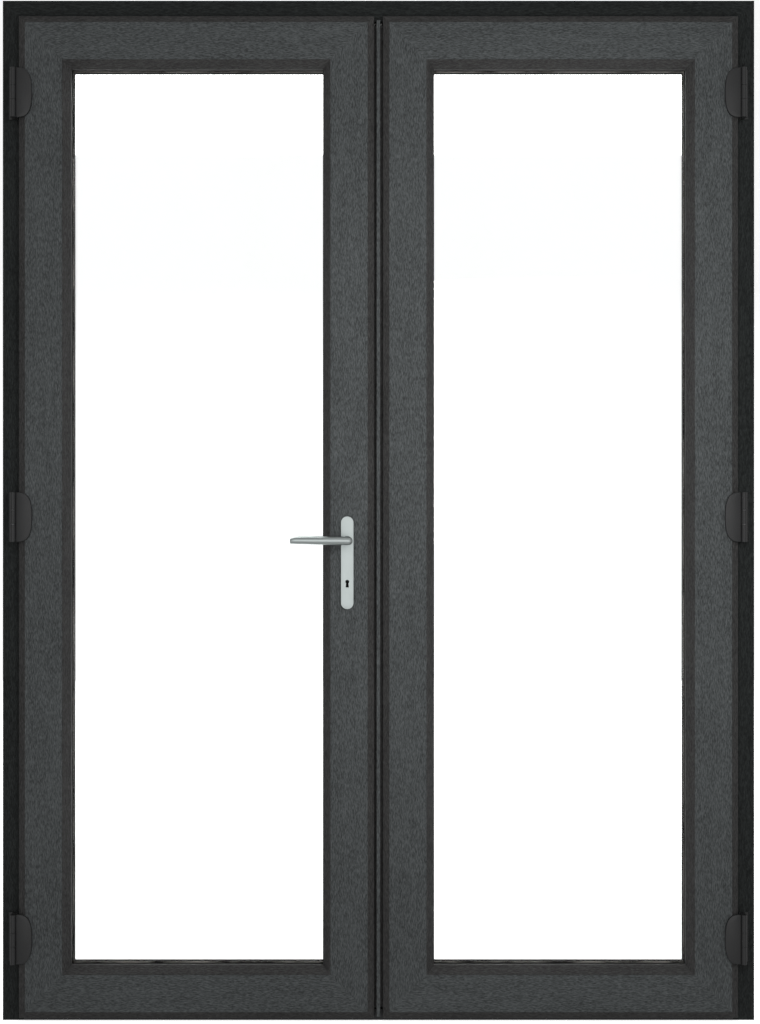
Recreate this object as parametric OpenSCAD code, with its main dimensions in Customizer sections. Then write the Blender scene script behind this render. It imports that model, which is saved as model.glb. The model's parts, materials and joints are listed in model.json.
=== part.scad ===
// Pair of glazed french doors with their frame: an active leaf with a lever
// handle and a passive leaf that carries the closing mullion.
// Millimetres, +Z up. Origin: underside of the threshold, halfway across the
// frame and halfway through its depth. -Y is the room side the leaves open to.

/* [Overall size] */
// frame width, outside to outside
frame_w = 1600; // [1340:20:1920]
// frame height, floor to top
frame_h = 2170; // [1808:1:2400]
// frame depth from room face to weather face
frame_depth = 70; // [64:2:82]

/* [Frame section] */
// width of the frame's main body
frame_body = 45; // [38:1:48]
// how far the stop stands in past the body
stop_reach = 20; // [18:1:24]
// thickness of the stop
stop_thick = 17; // [15:1:20]
// wall thickness of the hollow plastic bars
wall = 3; // [2.5:0.5:3.5]
// threshold height
threshold_h = 25; // [22:1:26]

/* [Leaf section] */
// frame face left showing beside the leaf
reveal = 37.5; // [33:0.5:39]
// leaf thickness from room face to weather face
leaf_depth = 70; // [64:2:84]
// how far the overlap flange stands past the leaf body
overlap = 21; // [20:1:25]
// flat and bevelled width from the flange edge to the bead
face_w = 93; // [90:1:104]
// width of the outer bevel
bevel_w = 14; // [8:1:18]
// depth of the outer bevel
bevel_d = 5; // [3:1:7]
// height of the glazing bead and of the weather-side glazing leg
rebate_h = 16; // [15:1:22]
// gap between the two leaf flanges at the middle
centre_gap = 18; // [17:1:22]
// gap under the flange of the closed leaf
floor_gap = 8.5; // [7:0.5:10]
// gap that the lip seals fill
seal_gap = 3; // [2.5:0.5:4]

/* [Glazing] */
// thickness of one pane
pane_thick = 4; // [3:1:5]
// thickness of the whole sealed glass unit
unit_thick = 24; // [22:1:26]
// gap round the glass edge
edge_gap = 5; // [4:1:7]

/* [Closing mullion] */
// width of the narrow rib that shows between the leaves
rib_w = 8.5; // [6:0.5:10]
// width of the cover over the joint on the weather side
cover_w = 76; // [70:2:84]
// thickness of that cover
cover_thick = 12; // [8:1:16]

/* [Handle and lock] */
// height of the lever's turning axis
lever_z = 1021; // [950:1:1100]
// distance from lever axis to key axis
key_drop = 92; // [88:1:96]
// lever length from the turning axis to the tip
lever_len = 119; // [100:1:136]
// backplate length
plate_len = 197; // [190:1:230]
// backplate width
plate_w = 27.5; // [26:0.5:30]
// backplate thickness
plate_t = 8; // [6:1:10]
// lock axis from the edge of the leaf body
backset = 36; // [35:1:38]
// travel of the locking rail
rail_travel = 18; // [16:1:20]
// travel of the dead bolt
deadbolt_travel = 18; // [16:1:18]

/* [Hinges] */
// hinge height, end to end
hinge_len = 105; // [90:1:126]
// hinge barrel diameter
barrel_d = 12; // [11:0.5:13]
// hinge pin diameter
pin_d = 8; // [7:0.5:8]
// width of the cover on the leaf
hinge_cover_w = 35; // [30:1:38]

/* [Clearances] */
// radial running clearance of pins, hub and bolts
run_clear = 0.06; // [0.04:0.01:0.1]
// loose clearance round inserted pieces
slip = 0.4; // [0.3:0.1:0.6]

/* [Hidden] */
big = 4000;
y_room = -frame_depth / 2;
y_weather = frame_depth / 2;
stop_y = y_weather - stop_thick;
leaf_back = stop_y - seal_gap;
leaf_front = leaf_back - leaf_depth;
flange_back = y_room - seal_gap;
leaf_w = (frame_w - 2 * reveal - centre_gap) / 2;
leaf_z = floor_gap;
leaf_top = frame_h - reveal;
leaf_h = leaf_top - leaf_z;
leaf_x = -frame_w / 2 + reveal;
meet_x = centre_gap / 2;
body_x = meet_x + overlap;
sight = face_w + rebate_h;
in_x = frame_w / 2 - frame_body;
head_z = frame_h - frame_body;
stop_z = head_z - stop_reach;
sash_top = leaf_top - overlap;
sash_bottom = leaf_z + overlap;
// glazing depths
weather_leg = 10;
gasket_t = 3;
glass_back = leaf_back - weather_leg - gasket_t;
glass_front = glass_back - unit_thick;
bead_back = glass_front - gasket_t;
bead_step = 1;
bead_top_y = bead_back - 11;
glass_u = face_w + edge_gap;
block_len = 100;
block_in = 60;
spacer_u = glass_u + 1.5;
spacer_out = 0.6;
gasket_out = 0.6;
weather_gasket_out = 1.6;
gasket_in = 7;
// hardware groove in the leaf edge
groove_y = -20;
face_plate_w = 16;
face_plate_t = 3;
groove_d = 15;
groove_w = 12;
rail_w = 10;
rail_t = 3;
groove_play = 0.25;
// reinforcement chamber of the leaf bars
cham_y0 = flange_back;
cham_y1 = leaf_back - weather_leg - 7;
cham_u0 = overlap + groove_d + wall;
cham_u1 = face_w - wall;
// reinforcement chamber of the frame bars
fr_cham_y0 = y_room + 15;
fr_cham_y1 = stop_y - 4;
fr_cham_u = 5;
// lip seals
slot_half = 1.2;
slot_d = 2;
leaf_lip_half = 2.5;
frame_lip_half = 3;
seal_u = frame_body + stop_reach - 4;
// threshold
break_y0 = -10;
break_y1 = 6;
outer_lip = 10;
end_block = 12;
cam_r = 4.5;
cam_reach = 6;
key_z = lever_z - key_drop;
cam_z = [sash_bottom + 270, key_z - 170, lever_z + 280, sash_top - 270];
lock_x = -body_x - backset;
key_head = 5;
key_head_r = 4;
key_slot_low = -7.5;
key_slot_top_w = 1.6;
key_slot_low_w = 2.6;
plate_mid = lever_z - 47;
plate_step = 1.2;
plate_screw_in = 34;
lever_gap = 34;
lever_t = 15;
spindle_in = leaf_front - plate_t - lever_gap;
spindle_out = leaf_back + plate_t + lever_gap;
case_t = 15;
case_low = key_z - 55;
case_high = lever_z + 62;
case_x = lock_x - 24;
case_face = -body_x - face_plate_t - rail_t - 1;
hub_r = 9;
neck_r = 10;
spindle_w = 8;
bolt_h = 30;
bolt_t = 10;
bolt_len = deadbolt_travel + 11;
// mullion
// clear space between the active leaf's edge and the mullion
mull_clear = 11.7;
mull_x = mull_clear - body_x;
mull_web = 3;
mull_gap = 4;
low_cap_t = 2;
rib_front = leaf_front + 2;
rib_x = -rib_w / 2 - 0.25;
mull_split = rib_x + mull_web;
rod_r = 4;
rod_x = mull_x + 9.9;
rod_y = -10;
rod_len = 220;
rod_travel = 14;
knob_z = 160;
keep_t = 2.5;
keep_face_x = mull_x - keep_t;
head_pocket_h = 14;
// hinges
hinge_out = 10;
hinge_x = frame_w / 2 - reveal + hinge_out;
hinge_y = leaf_front - 6;
knuckle_h = hinge_len * 0.36;
knuckle_gap = 0.5;
bush_t = 1;
leaf_knuckle = hinge_len - 2 * knuckle_h;
flap_face = leaf_front - hinge_y;
flap_in = 18;
base_t = 3;
barrel_gap = 0.7;
hinge_z = [leaf_z + 169, leaf_z + leaf_h / 2, leaf_top - 164];
flap_t = 3.4;
cover_corner = 15;
cover_bulge = 260;
screw_r = 2.4;
// steel
steel_t = 2;
leaf_steel_end = 126;
frame_steel_end = 64;
// holes for the wall fixings
fix_r = 5.5;
fix_first = 200;
fix_step = (frame_h - 565) / 3;
fix_z = [for (i = [0:3]) fix_first + i * fix_step];

// ---------- shared shapes ----------

// a box between two corners
module span(low, high) {
    translate(low) cube([high[0] - low[0], high[1] - low[1], high[2] - low[2]]);
}

// a rectangle between two corners
module area(x0, x1, y0, y1) {
    translate([x0, y0]) square([x1 - x0, y1 - y0]);
}

// a cylinder along +Y starting at y0
module rod_y_axis(x, y0, z, r, length) {
    translate([x, y0, z]) rotate([-90, 0, 0]) cylinder(h = length, r = r, $fn = 48);
}

// a section drawn as (depth, height from the outer edge), run along +X
module run_x(length) {
    rotate([90, 0, 90]) linear_extrude(length) children();
}

// keeps what lies between mitred ends, one end square if asked
module mitred(length, width, start = 1, end = 1) {
    intersection() {
        children();
        rotate([90, 0, 0]) translate([0, 0, -200]) linear_extrude(400)
            polygon([[0, 0], [length, 0], [length - end * width, width], [start * width, width]]);
    }
}

// stands a bar that runs along +X into one side of a leaf or frame
module side(which, w, h) {
    if (which == "bottom") children();
    if (which == "right") translate([w, 0, 0]) rotate([0, -90, 0]) children();
    if (which == "top") translate([w, 0, h]) rotate([0, 180, 0]) children();
    if (which == "left") translate([0, 0, h]) rotate([0, 90, 0]) children();
}

// ---------- leaf bars ----------

module leaf_outline() {
    polygon([[flange_back, 0], [leaf_front + bevel_d, 0], [leaf_front, bevel_w],
        [leaf_front, face_w], [leaf_back - weather_leg, face_w],
        [leaf_back - weather_leg, sight - 2], [leaf_back - weather_leg + 2, sight],
        [leaf_back - 4, sight], [leaf_back, sight - 5], [leaf_back, overlap],
        [flange_back, overlap]]);
}

module leaf_groove() {
    area(groove_y - face_plate_w / 2 - groove_play, groove_y + face_plate_w / 2 + groove_play,
        overlap - 1, overlap + face_plate_t);
    area(groove_y - groove_w / 2, groove_y + groove_w / 2, overlap, overlap + groove_d);
}

module leaf_chambers() {
    polygon([[flange_back - wall, wall + 1], [leaf_front + bevel_d + wall, wall + 1],
        [leaf_front + wall, bevel_w + 1], [leaf_front + wall, cham_u1],
        [flange_back - wall, cham_u1]]);
    area(cham_y0, cham_y1, cham_u0, cham_u1);
    area(cham_y1 + wall, leaf_back - wall, overlap + wall, cham_u1);
    area(cham_y0 + wall, groove_y - face_plate_w / 2 - wall, overlap + wall, cham_u0 - wall);
    area(groove_y + face_plate_w / 2 + wall, cham_y1, overlap + wall, cham_u0 - wall);
}

// small keying slot behind the flange for the lip seal
module seal_slot(y, u) {
    area(y - slot_d, y + slot_d, u - slot_half, u + slot_half);
}

module leaf_bar(length) {
    mitred(length, sight + 20) run_x(length) difference() {
        leaf_outline();
        leaf_groove();
        leaf_chambers();
        seal_slot(flange_back, overlap / 2);
    }
}

module left_place() {
    translate([leaf_x, 0, leaf_z]) children();
}

// the passive leaf is the mirror image of the active one
module right_place() {
    mirror([1, 0, 0]) left_place() children();
}

// screws and bolt openings cut into the active leaf's meeting stile
module lock_cuts() {
    translate([-leaf_x, 0, -leaf_z]) {
        span([case_x - 1, groove_y - case_t / 2 - 0.5, case_low - 1],
            [-body_x - face_plate_t, groove_y + case_t / 2 + 0.5, case_high + 1]);
        rod_y_axis(lock_x, leaf_front - 5, lever_z, neck_r + 1.5, leaf_depth + 10);
        rod_y_axis(lock_x, leaf_front - 5, key_z, 10, leaf_depth + 10);
        for (z = plate_screw_z())
            rod_y_axis(lock_x, leaf_front - 5, z, screw_r + slip, leaf_depth + 10);
    }
}

function plate_screw_z() = [lever_z + plate_screw_in, key_z - plate_screw_in];

module left_hinge_stile() {
    color("#404241") left_place() side("left", leaf_w, leaf_h) leaf_bar(leaf_h);
}

module left_lock_stile() {
    color("#525657") left_place() difference() {
        side("right", leaf_w, leaf_h) leaf_bar(leaf_h);
        lock_cuts();
    }
}

module left_top_rail() {
    color("#484a4b") left_place() side("top", leaf_w, leaf_h) leaf_bar(leaf_w);
}

module left_bottom_rail() {
    color("#404040") left_place() side("bottom", leaf_w, leaf_h) leaf_bar(leaf_w);
}

module right_hinge_stile() {
    color("#4d5152") right_place() side("left", leaf_w, leaf_h) leaf_bar(leaf_h);
}

module right_meeting_stile() {
    color("#525657") right_place() side("right", leaf_w, leaf_h) leaf_bar(leaf_h);
}

module right_top_rail() {
    color("#484a4b") right_place() side("top", leaf_w, leaf_h) leaf_bar(leaf_w);
}

module right_bottom_rail() {
    color("#404040") right_place() side("bottom", leaf_w, leaf_h) leaf_bar(leaf_w);
}

// a rectangular steel tube lying in the chamber of one bar
module leaf_steel(length) {
    translate([leaf_steel_end, 0, 0]) run_x(length - 2 * leaf_steel_end) difference() {
        area(cham_y0 + slip, cham_y1 - slip, cham_u0 + slip, cham_u1 - slip);
        area(cham_y0 + slip + steel_t, cham_y1 - slip - steel_t,
            cham_u0 + slip + steel_t, cham_u1 - slip - steel_t);
    }
}

module leaf_reinforcement() {
    side("left", leaf_w, leaf_h) leaf_steel(leaf_h);
    side("top", leaf_w, leaf_h) leaf_steel(leaf_w);
    side("bottom", leaf_w, leaf_h) leaf_steel(leaf_w);
}

// the lock stile's tube is in two lengths, above and below the lock case
module left_reinforcement() {
    color("#9a9ca0") left_place() {
        leaf_reinforcement();
        difference() {
            side("right", leaf_w, leaf_h) leaf_steel(leaf_h);
            translate([-leaf_x, 0, -leaf_z])
                span([-big, -200, case_low - 4], [big, 200, case_high + 4]);
        }
    }
}

module right_reinforcement() {
    color("#9a9ca0") right_place() {
        leaf_reinforcement();
        side("right", leaf_w, leaf_h) leaf_steel(leaf_h);
    }
    color("#9a9ca0") translate([0, 0, sash_bottom + 40])
        linear_extrude(sash_top - sash_bottom - 80) difference() {
            area(mull_split + mull_web + slip, body_x - mull_web - slip,
                y_room + mull_web + slip, leaf_back - mull_web - slip);
            area(mull_split + mull_web + slip + steel_t, body_x - mull_web - slip - steel_t,
                y_room + mull_web + slip + steel_t, leaf_back - mull_web - slip - steel_t);
        }
}

// ---------- glazing ----------

module glass_panes() {
    for (y = [glass_front, glass_back - pane_thick])
        span([glass_u, y, glass_u], [leaf_w - glass_u, y + pane_thick, leaf_h - glass_u]);
}

// a frame of four bars, u0 to u1 in from the leaf edge and y0 to y1 in depth
module ring(u0, u1, y0, y1) {
    rotate([90, 0, 0]) translate([0, 0, -y1]) linear_extrude(y1 - y0) difference() {
        area(u0, leaf_w - u0, u0, leaf_h - u0);
        area(u1, leaf_w - u1, u1, leaf_h - u1);
    }
}

module spacer_bars() {
    ring(spacer_u, sight + spacer_out, glass_front + pane_thick, glass_back - pane_thick);
}

module bead_section() {
    difference() {
        polygon([[leaf_front + bead_step, face_w], [bead_back, face_w], [bead_back, sight],
            [bead_top_y + 2, sight], [bead_top_y, sight - 1.2],
            [leaf_front + bead_step + 1.2, face_w + 1.6], [leaf_front + bead_step, face_w + 0.8]]);
        polygon([[leaf_front + 14, face_w + wall], [bead_back - wall, face_w + wall],
            [bead_back - wall, sight - wall], [bead_top_y + wall, sight - wall - 1]]);
    }
}

module bead_bar(length) {
    mitred(length, sight + 20) run_x(length) bead_section();
}

module beads() {
    side("left", leaf_w, leaf_h) bead_bar(leaf_h);
    side("right", leaf_w, leaf_h) bead_bar(leaf_h);
    side("top", leaf_w, leaf_h) bead_bar(leaf_w);
    side("bottom", leaf_w, leaf_h) bead_bar(leaf_w);
}

module gaskets() {
    ring(sight - gasket_in, sight + gasket_out, bead_back, glass_front);
    ring(sight - gasket_in, sight + weather_gasket_out, glass_back, glass_back + gasket_t);
}

module setting_blocks() {
    for (x = [glass_u + block_in, leaf_w - glass_u - block_in - block_len])
        for (z = [face_w, leaf_h - glass_u])
            span([x, glass_front, z], [x + block_len, glass_back, z + edge_gap]);
    for (z = [glass_u + 2 * block_in, leaf_h - glass_u - 2 * block_in - block_len])
        for (x = [face_w, leaf_w - glass_u])
            span([x, glass_front, z], [x + edge_gap, glass_back, z + block_len]);
}

module left_glass() {
    color([0.8, 0.88, 0.86, 0.35]) left_place() glass_panes();
}

module right_glass() {
    color([0.8, 0.88, 0.86, 0.35]) right_place() glass_panes();
}

module left_spacer() {
    color("#827d75") left_place() spacer_bars();
}

module right_spacer() {
    color("#827d75") right_place() spacer_bars();
}

module left_glazing_beads() {
    color("#3b3d3d") left_place() beads();
}

module right_glazing_beads() {
    color("#3b3d3d") right_place() beads();
}

module left_glazing_gaskets() {
    color("#1c1d1e") left_place() gaskets();
}

module right_glazing_gaskets() {
    color("#1c1d1e") right_place() gaskets();
}

module left_setting_blocks() {
    color("#b8442f") left_place() setting_blocks();
}

module right_setting_blocks() {
    color("#b8442f") right_place() setting_blocks();
}

// ---------- drip bars and seals ----------

// sheds rain clear of the threshold on the weather side of a leaf
module drip_bar() {
    end_gap = overlap + 24;
    u0 = overlap + 2;
    translate([end_gap, 0, 0]) run_x(leaf_w - 2 * end_gap) difference() {
        polygon([[leaf_back, u0 + 36], [leaf_back + 3, u0 + 36], [leaf_back + 24, u0 + 10],
            [leaf_back + 24, u0], [leaf_back + 21, u0], [leaf_back + 21, u0 + 8],
            [leaf_back, u0 + 8]]);
        polygon([[leaf_back + 3, u0 + 11], [leaf_back + 3, u0 + 31], [leaf_back + 19, u0 + 11]]);
    }
}

module left_drip_bar() {
    color("#2b2d2e") left_place() drip_bar();
}

module right_drip_bar() {
    color("#2b2d2e") right_place() drip_bar();
}

// a lip seal: a root held in the slot and a lip that nearly reaches the frame
module flange_seal_section() {
    area(flange_back - slot_d, flange_back, overlap / 2 - slot_half, overlap / 2 + slot_half);
    area(flange_back, y_room - slip, overlap / 2 - leaf_lip_half, overlap / 2 + leaf_lip_half);
}

module flange_seal_bar(length) {
    mitred(length, sight) run_x(length) flange_seal_section();
}

module flange_seals(right_side) {
    side("left", leaf_w, leaf_h) flange_seal_bar(leaf_h);
    side("top", leaf_w, leaf_h) flange_seal_bar(leaf_w);
    side("bottom", leaf_w, leaf_h) flange_seal_bar(leaf_w);
    if (right_side) side("right", leaf_w, leaf_h) flange_seal_bar(leaf_h);
}

module left_flange_seal() {
    color("#1c1d1e") left_place() flange_seals(true);
}

module right_flange_seal() {
    color("#1c1d1e") right_place() flange_seals(false);
}

// ---------- frame ----------

module frame_outline() {
    polygon([[y_room, 0], [y_weather, 0], [y_weather, frame_body + stop_reach - 2],
        [y_weather - 2, frame_body + stop_reach], [stop_y + 2, frame_body + stop_reach],
        [stop_y, frame_body + stop_reach - 2], [stop_y, frame_body],
        [y_room + 1, frame_body], [y_room, frame_body - 1]]);
}

module frame_chambers() {
    area(y_room + wall, fr_cham_y0 - wall, wall, frame_body - wall);
    area(fr_cham_y0, fr_cham_y1, fr_cham_u, frame_body - fr_cham_u);
    area(fr_cham_y1 + wall, y_weather - wall, wall, frame_body - wall);
    area(stop_y + 6, y_weather - wall, frame_body, frame_body + stop_reach - wall - 1);
}

module frame_section() {
    difference() {
        frame_outline();
        frame_chambers();
        seal_slot(stop_y, seal_u);
    }
}

// holes for the wall fixings, from the outer edge through the whole body
module fixing_hole(x) {
    translate([x, 0, -1]) cylinder(h = frame_body + 2, r = fix_r, $fn = 48);
}

module jamb_bar() {
    mitred(frame_h, frame_body + stop_reach + 30, 0, 1) run_x(frame_h) frame_section();
}

// the stop is notched over the threshold
module threshold_notch() {
    span([-1, -frame_depth, frame_body], [threshold_h, frame_depth, frame_body + stop_reach + 1]);
}

module right_jamb() {
    translate([frame_w / 2, 0, 0]) rotate([0, -90, 0]) difference() {
        jamb_bar();
        threshold_notch();
        for (z = fix_z) fixing_hole(z);
    }
}

module frame_jamb_right() {
    color("#2c3031") right_jamb();
}

module frame_jamb_left() {
    color("#242728") mirror([1, 0, 0]) right_jamb();
}

// room in the head for the raised flush bolt
module head_pocket() {
    translate([frame_w / 2 - rod_x, rod_y, frame_body - head_pocket_h])
        cylinder(h = head_pocket_h + 2, r = rod_r + 2, $fn = 48);
}

module frame_head() {
    color("#25292a") translate([frame_w / 2, 0, frame_h]) rotate([0, 180, 0]) difference() {
        mitred(frame_w, frame_body + stop_reach + 30) run_x(frame_w) frame_section();
        head_pocket();
    }
}

module frame_steel(length) {
    run_x(length) difference() {
        area(fr_cham_y0 + slip, fr_cham_y1 - slip, fr_cham_u + slip, frame_body - fr_cham_u - slip);
        area(fr_cham_y0 + slip + steel_t, fr_cham_y1 - slip - steel_t,
            fr_cham_u + slip + steel_t, frame_body - fr_cham_u - slip - steel_t);
    }
}

module jamb_steel() {
    translate([frame_w / 2, 0, 0]) rotate([0, -90, 0]) difference() {
        translate([10, 0, 0]) frame_steel(frame_h - frame_steel_end - 10);
        for (z = fix_z) fixing_hole(z);
    }
}

module frame_reinforcement() {
    color("#9a9ca0") {
        jamb_steel();
        mirror([1, 0, 0]) jamb_steel();
        translate([frame_w / 2, 0, frame_h]) rotate([0, 180, 0]) difference() {
            translate([frame_steel_end, 0, 0]) frame_steel(frame_w - 2 * frame_steel_end);
            head_pocket();
        }
    }
}

module frame_seal_section() {
    area(stop_y, stop_y + slot_d, seal_u - slot_half, seal_u + slot_half);
    area(leaf_back + slip, stop_y, seal_u - frame_lip_half, seal_u + frame_lip_half);
}

module jamb_seal() {
    translate([frame_w / 2, 0, 0]) rotate([0, -90, 0]) difference() {
        mitred(frame_h, frame_body + stop_reach + 30, 0, 1)
            run_x(frame_h) frame_seal_section();
        span([-1, -50, 0], [threshold_h + 30, 50, 100]);
    }
}

module frame_seals() {
    color("#1c1d1e") {
        jamb_seal();
        mirror([1, 0, 0]) jamb_seal();
        translate([frame_w / 2, 0, frame_h]) rotate([0, 180, 0])
            mitred(frame_w, frame_body + stop_reach + 30)
                run_x(frame_w) frame_seal_section();
    }
}

// ---------- threshold ----------

module threshold_run() {
    translate([-in_x + end_block, 0, 0]) run_x(2 * (in_x - end_block)) children();
}

module bolt_socket(r) {
    translate([rod_x, rod_y, threshold_h - 16]) cylinder(h = 20, r = r, $fn = 48);
}

module threshold_inner() {
    color("#2f3132") difference() {
        threshold_run() difference() {
            polygon([[y_room, 0], [break_y0 + 4, 0], [break_y0 + 4, threshold_h],
                [y_room + 2, threshold_h], [y_room, threshold_h - 2]]);
            area(y_room + 3, -18, 2, threshold_h - 4);
        }
        bolt_socket(rod_r + 1);
        span([rod_x - 16, rod_y - 8, threshold_h - 2], [rod_x + 16, 50, threshold_h + 1]);
    }
}

module threshold_thermal_break() {
    color("#26282a") threshold_run() difference() {
        area(break_y0 + 4, break_y1, 0, threshold_h);
        area(break_y0 + 7, break_y1 - 3, 3, threshold_h - 3);
    }
}

module threshold_outer() {
    color("#2f3132") threshold_run() difference() {
        polygon([[break_y1, 0], [y_weather, 0], [y_weather, outer_lip], [break_y1 + 6, threshold_h],
            [break_y1, threshold_h]]);
        polygon([[break_y1 + 3, 2], [y_weather - 3, 2], [y_weather - 3, outer_lip - 2],
            [break_y1 + 6, threshold_h - 4], [break_y1 + 3, threshold_h - 4]]);
    }
}

module threshold_end_blocks() {
    color("#26282a") for (s = [-1, 1])
        translate([s * (in_x - end_block / 2) - end_block / 2, 0, 0])
            run_x(end_block) polygon([[y_room, 0], [y_weather, 0], [y_weather, outer_lip],
                [break_y1 + 6, threshold_h], [y_room + 2, threshold_h],
                [y_room, threshold_h - 2]]);
}

// ---------- hinges ----------

module at_hinges(x_side) {
    for (z = hinge_z) translate([x_side * hinge_x, hinge_y, z]) children();
}

// one hinge's fixed half: two knuckles, arms and a base plate on the jamb
module fixed_half() {
    base_y = y_room - hinge_y - base_t;
    end_h = (hinge_len - leaf_knuckle) / 2 - knuckle_gap;
    difference() {
        union() {
            for (z = [-hinge_len / 2, hinge_len / 2 - end_h]) translate([0, 0, z]) {
                cylinder(h = end_h, r = barrel_d / 2, $fn = 48);
                span([-barrel_d / 2, 0, 0], [3.5, base_y + base_t, end_h]);
            }
            span([-14, base_y, -hinge_len / 2], [4.5, base_y + base_t, hinge_len / 2]);
        }
        translate([0, 0, -hinge_len]) cylinder(h = 2 * hinge_len, r = pin_d / 2, $fn = 48);
    }
}

module hinge_frame_knuckles() {
    color("#38393b") {
        at_hinges(-1) fixed_half();
        mirror([1, 0, 0]) at_hinges(-1) fixed_half();
    }
}

module hinge_pins() {
    color("#8d9092") for (s = [-1, 1]) at_hinges(s)
        translate([0, 0, -hinge_len / 2 + 1]) cylinder(h = hinge_len - 2, r = pin_d / 2, $fn = 48);
}

// one hinge's moving half: a knuckle and a plate screwed to the leaf's face
module moving_half() {
    difference() {
        union() {
            translate([0, 0, -leaf_knuckle / 2])
                cylinder(h = leaf_knuckle, r = barrel_d / 2, $fn = 48);
            span([0, flap_face - flap_t, -leaf_knuckle / 2], [13, flap_face, leaf_knuckle / 2]);
            span([12.5, flap_face - flap_t, -hinge_len / 2 + flap_in],
                [hinge_cover_w - 4, flap_face, hinge_len / 2 - flap_in]);
        }
        translate([0, 0, -hinge_len])
            cylinder(h = 2 * hinge_len, r = pin_d / 2 + run_clear + bush_t, $fn = 48);
    }
}

module bush() {
    translate([0, 0, -leaf_knuckle / 2]) difference() {
        cylinder(h = leaf_knuckle, r = pin_d / 2 + run_clear + bush_t, $fn = 48);
        translate([0, 0, -1]) cylinder(h = leaf_knuckle + 2, r = pin_d / 2 + run_clear, $fn = 48);
    }
}

// outline of the hinge cover: straight beside the barrel, with round corners and
// a slight bulge on the glass side
module cover_outline() {
    x0 = barrel_d / 2 + barrel_gap;
    x1 = barrel_d / 2 + hinge_cover_w;
    half = hinge_len / 2;
    intersection() {
        union() {
            area(x0, x1 - cover_corner, -half, half);
            area(x0, x1, cover_corner - half, half - cover_corner);
            for (s = [-1, 1]) translate([x1 - cover_corner, s * (half - cover_corner)])
                circle(r = cover_corner, $fn = 64);
        }
        translate([x1 - cover_bulge, 0]) circle(r = cover_bulge, $fn = 180);
    }
}

module cover_shell() {
    rotate([90, 0, 0]) translate([0, 0, -flap_face]) difference() {
        linear_extrude(flap_t + 3) cover_outline();
        translate([0, 0, -1]) linear_extrude(flap_t + 1)
            area(0, hinge_cover_w - 4 + slip, flap_in - slip - hinge_len / 2,
                hinge_len / 2 - flap_in + slip);
    }
}

module left_hinge_flaps() {
    color("#38393b") at_hinges(-1) moving_half();
}

module right_hinge_flaps() {
    color("#38393b") mirror([1, 0, 0]) at_hinges(-1) moving_half();
}

module left_hinge_bushes() {
    color("#d8d8d4") at_hinges(-1) bush();
}

module right_hinge_bushes() {
    color("#d8d8d4") mirror([1, 0, 0]) at_hinges(-1) bush();
}

module left_hinge_covers() {
    color("#38393b") at_hinges(-1) cover_shell();
}

module right_hinge_covers() {
    color("#38393b") mirror([1, 0, 0]) at_hinges(-1) cover_shell();
}

// ---------- closing mullion on the passive leaf ----------

module mullion_section() {
    difference() {
        polygon([[mull_x, y_room], [rib_x, y_room], [rib_x, flange_back],
            [body_x, flange_back], [body_x, leaf_back], [mull_x, leaf_back]]);
        area(mull_x + mull_web, mull_split, y_room + mull_web, leaf_back - mull_web);
        area(mull_split + mull_web, body_x - mull_web, y_room + mull_web, leaf_back - mull_web);
    }
}

module mullion() {
    color("#4f5354") difference() {
        union() {
            translate([0, 0, sash_bottom])
                linear_extrude(sash_top - sash_bottom) mullion_section();
            span([rib_x, rib_front, leaf_z + 4], [rib_x + rib_w, flange_back, head_z - 2]);
        }
        span([mull_x - 1, groove_y - bolt_t / 2 - 2, key_z - bolt_h / 2 - 3],
            [mull_x + mull_web + 1, groove_y + bolt_t / 2 + 2, key_z + bolt_h / 2 + 3]);
        for (z = [sash_top - knob_z, sash_bottom + knob_z])
            span([mull_x - 1, rod_y - 4, z - rod_travel - 8],
                [mull_x + mull_web + 1, rod_y + 4, z + rod_travel + 8]);
    }
}

module upper_cap() {
    linear_extrude(mull_gap) difference() {
        polygon([[mull_x, y_room], [rib_x, y_room], [rib_x, flange_back],
            [body_x, flange_back], [body_x, leaf_back], [mull_x, leaf_back]]);
        translate([rod_x, rod_y]) circle(r = rod_r + 0.5, $fn = 48);
    }
}

module mullion_end_caps() {
    color("#26282a") {
        translate([0, 0, sash_top]) upper_cap();
        translate([0, 0, sash_bottom - low_cap_t]) lower_cap();
    }
}

// the lower cap is thinner, to clear the threshold
module lower_cap() {
    linear_extrude(low_cap_t) difference() {
        area(mull_x, body_x, y_room, leaf_back);
        translate([rod_x, rod_y]) circle(r = rod_r + 0.5, $fn = 48);
    }
}

module mullion_cover() {
    half = cover_w / 2;
    color("#2f3233") translate([0, 0, sash_bottom + 2])
        linear_extrude(stop_z - sash_bottom - 6) difference() {
            polygon([[mull_x + 6, leaf_back], [half, leaf_back], [half, leaf_back + 9],
                [half - 6, leaf_back + 3 + cover_thick], [6 - half, leaf_back + 3 + cover_thick],
                [-half, leaf_back + 9], [-half, stop_y], [mull_x + 6, stop_y]]);
            area(mull_x + 10, half - 9, leaf_back + wall, leaf_back + cover_thick);
        }
}

// a keep holds the cam only after the rail has lifted it
module cam_keep(z) {
    difference() {
        union() {
            span([keep_face_x, groove_y - 13, z - 14], [mull_x, groove_y + 14, z + 42]);
            span([-body_x + 2.6, groove_y - 13, z + cam_r + 4],
                [keep_face_x, groove_y - cam_r - 0.6, z + 38]);
        }
        for (dz = [-8, 36]) translate([keep_face_x - 5, groove_y + 6, z + dz])
            rotate([0, 90, 0]) cylinder(h = 20, r = 1.9, $fn = 32);
    }
}

module lock_keeps() {
    color("#a4a7a9") {
        for (z = cam_z) cam_keep(z);
        difference() {
            span([keep_face_x, groove_y - 13, key_z - 30], [mull_x, groove_y + 14, key_z + 30]);
            span([keep_face_x - 1, groove_y - bolt_t / 2 - 1, key_z - bolt_h / 2 - 1],
                [mull_x + 1, groove_y + bolt_t / 2 + 1, key_z + bolt_h / 2 + 1]);
        }
    }
}

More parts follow.
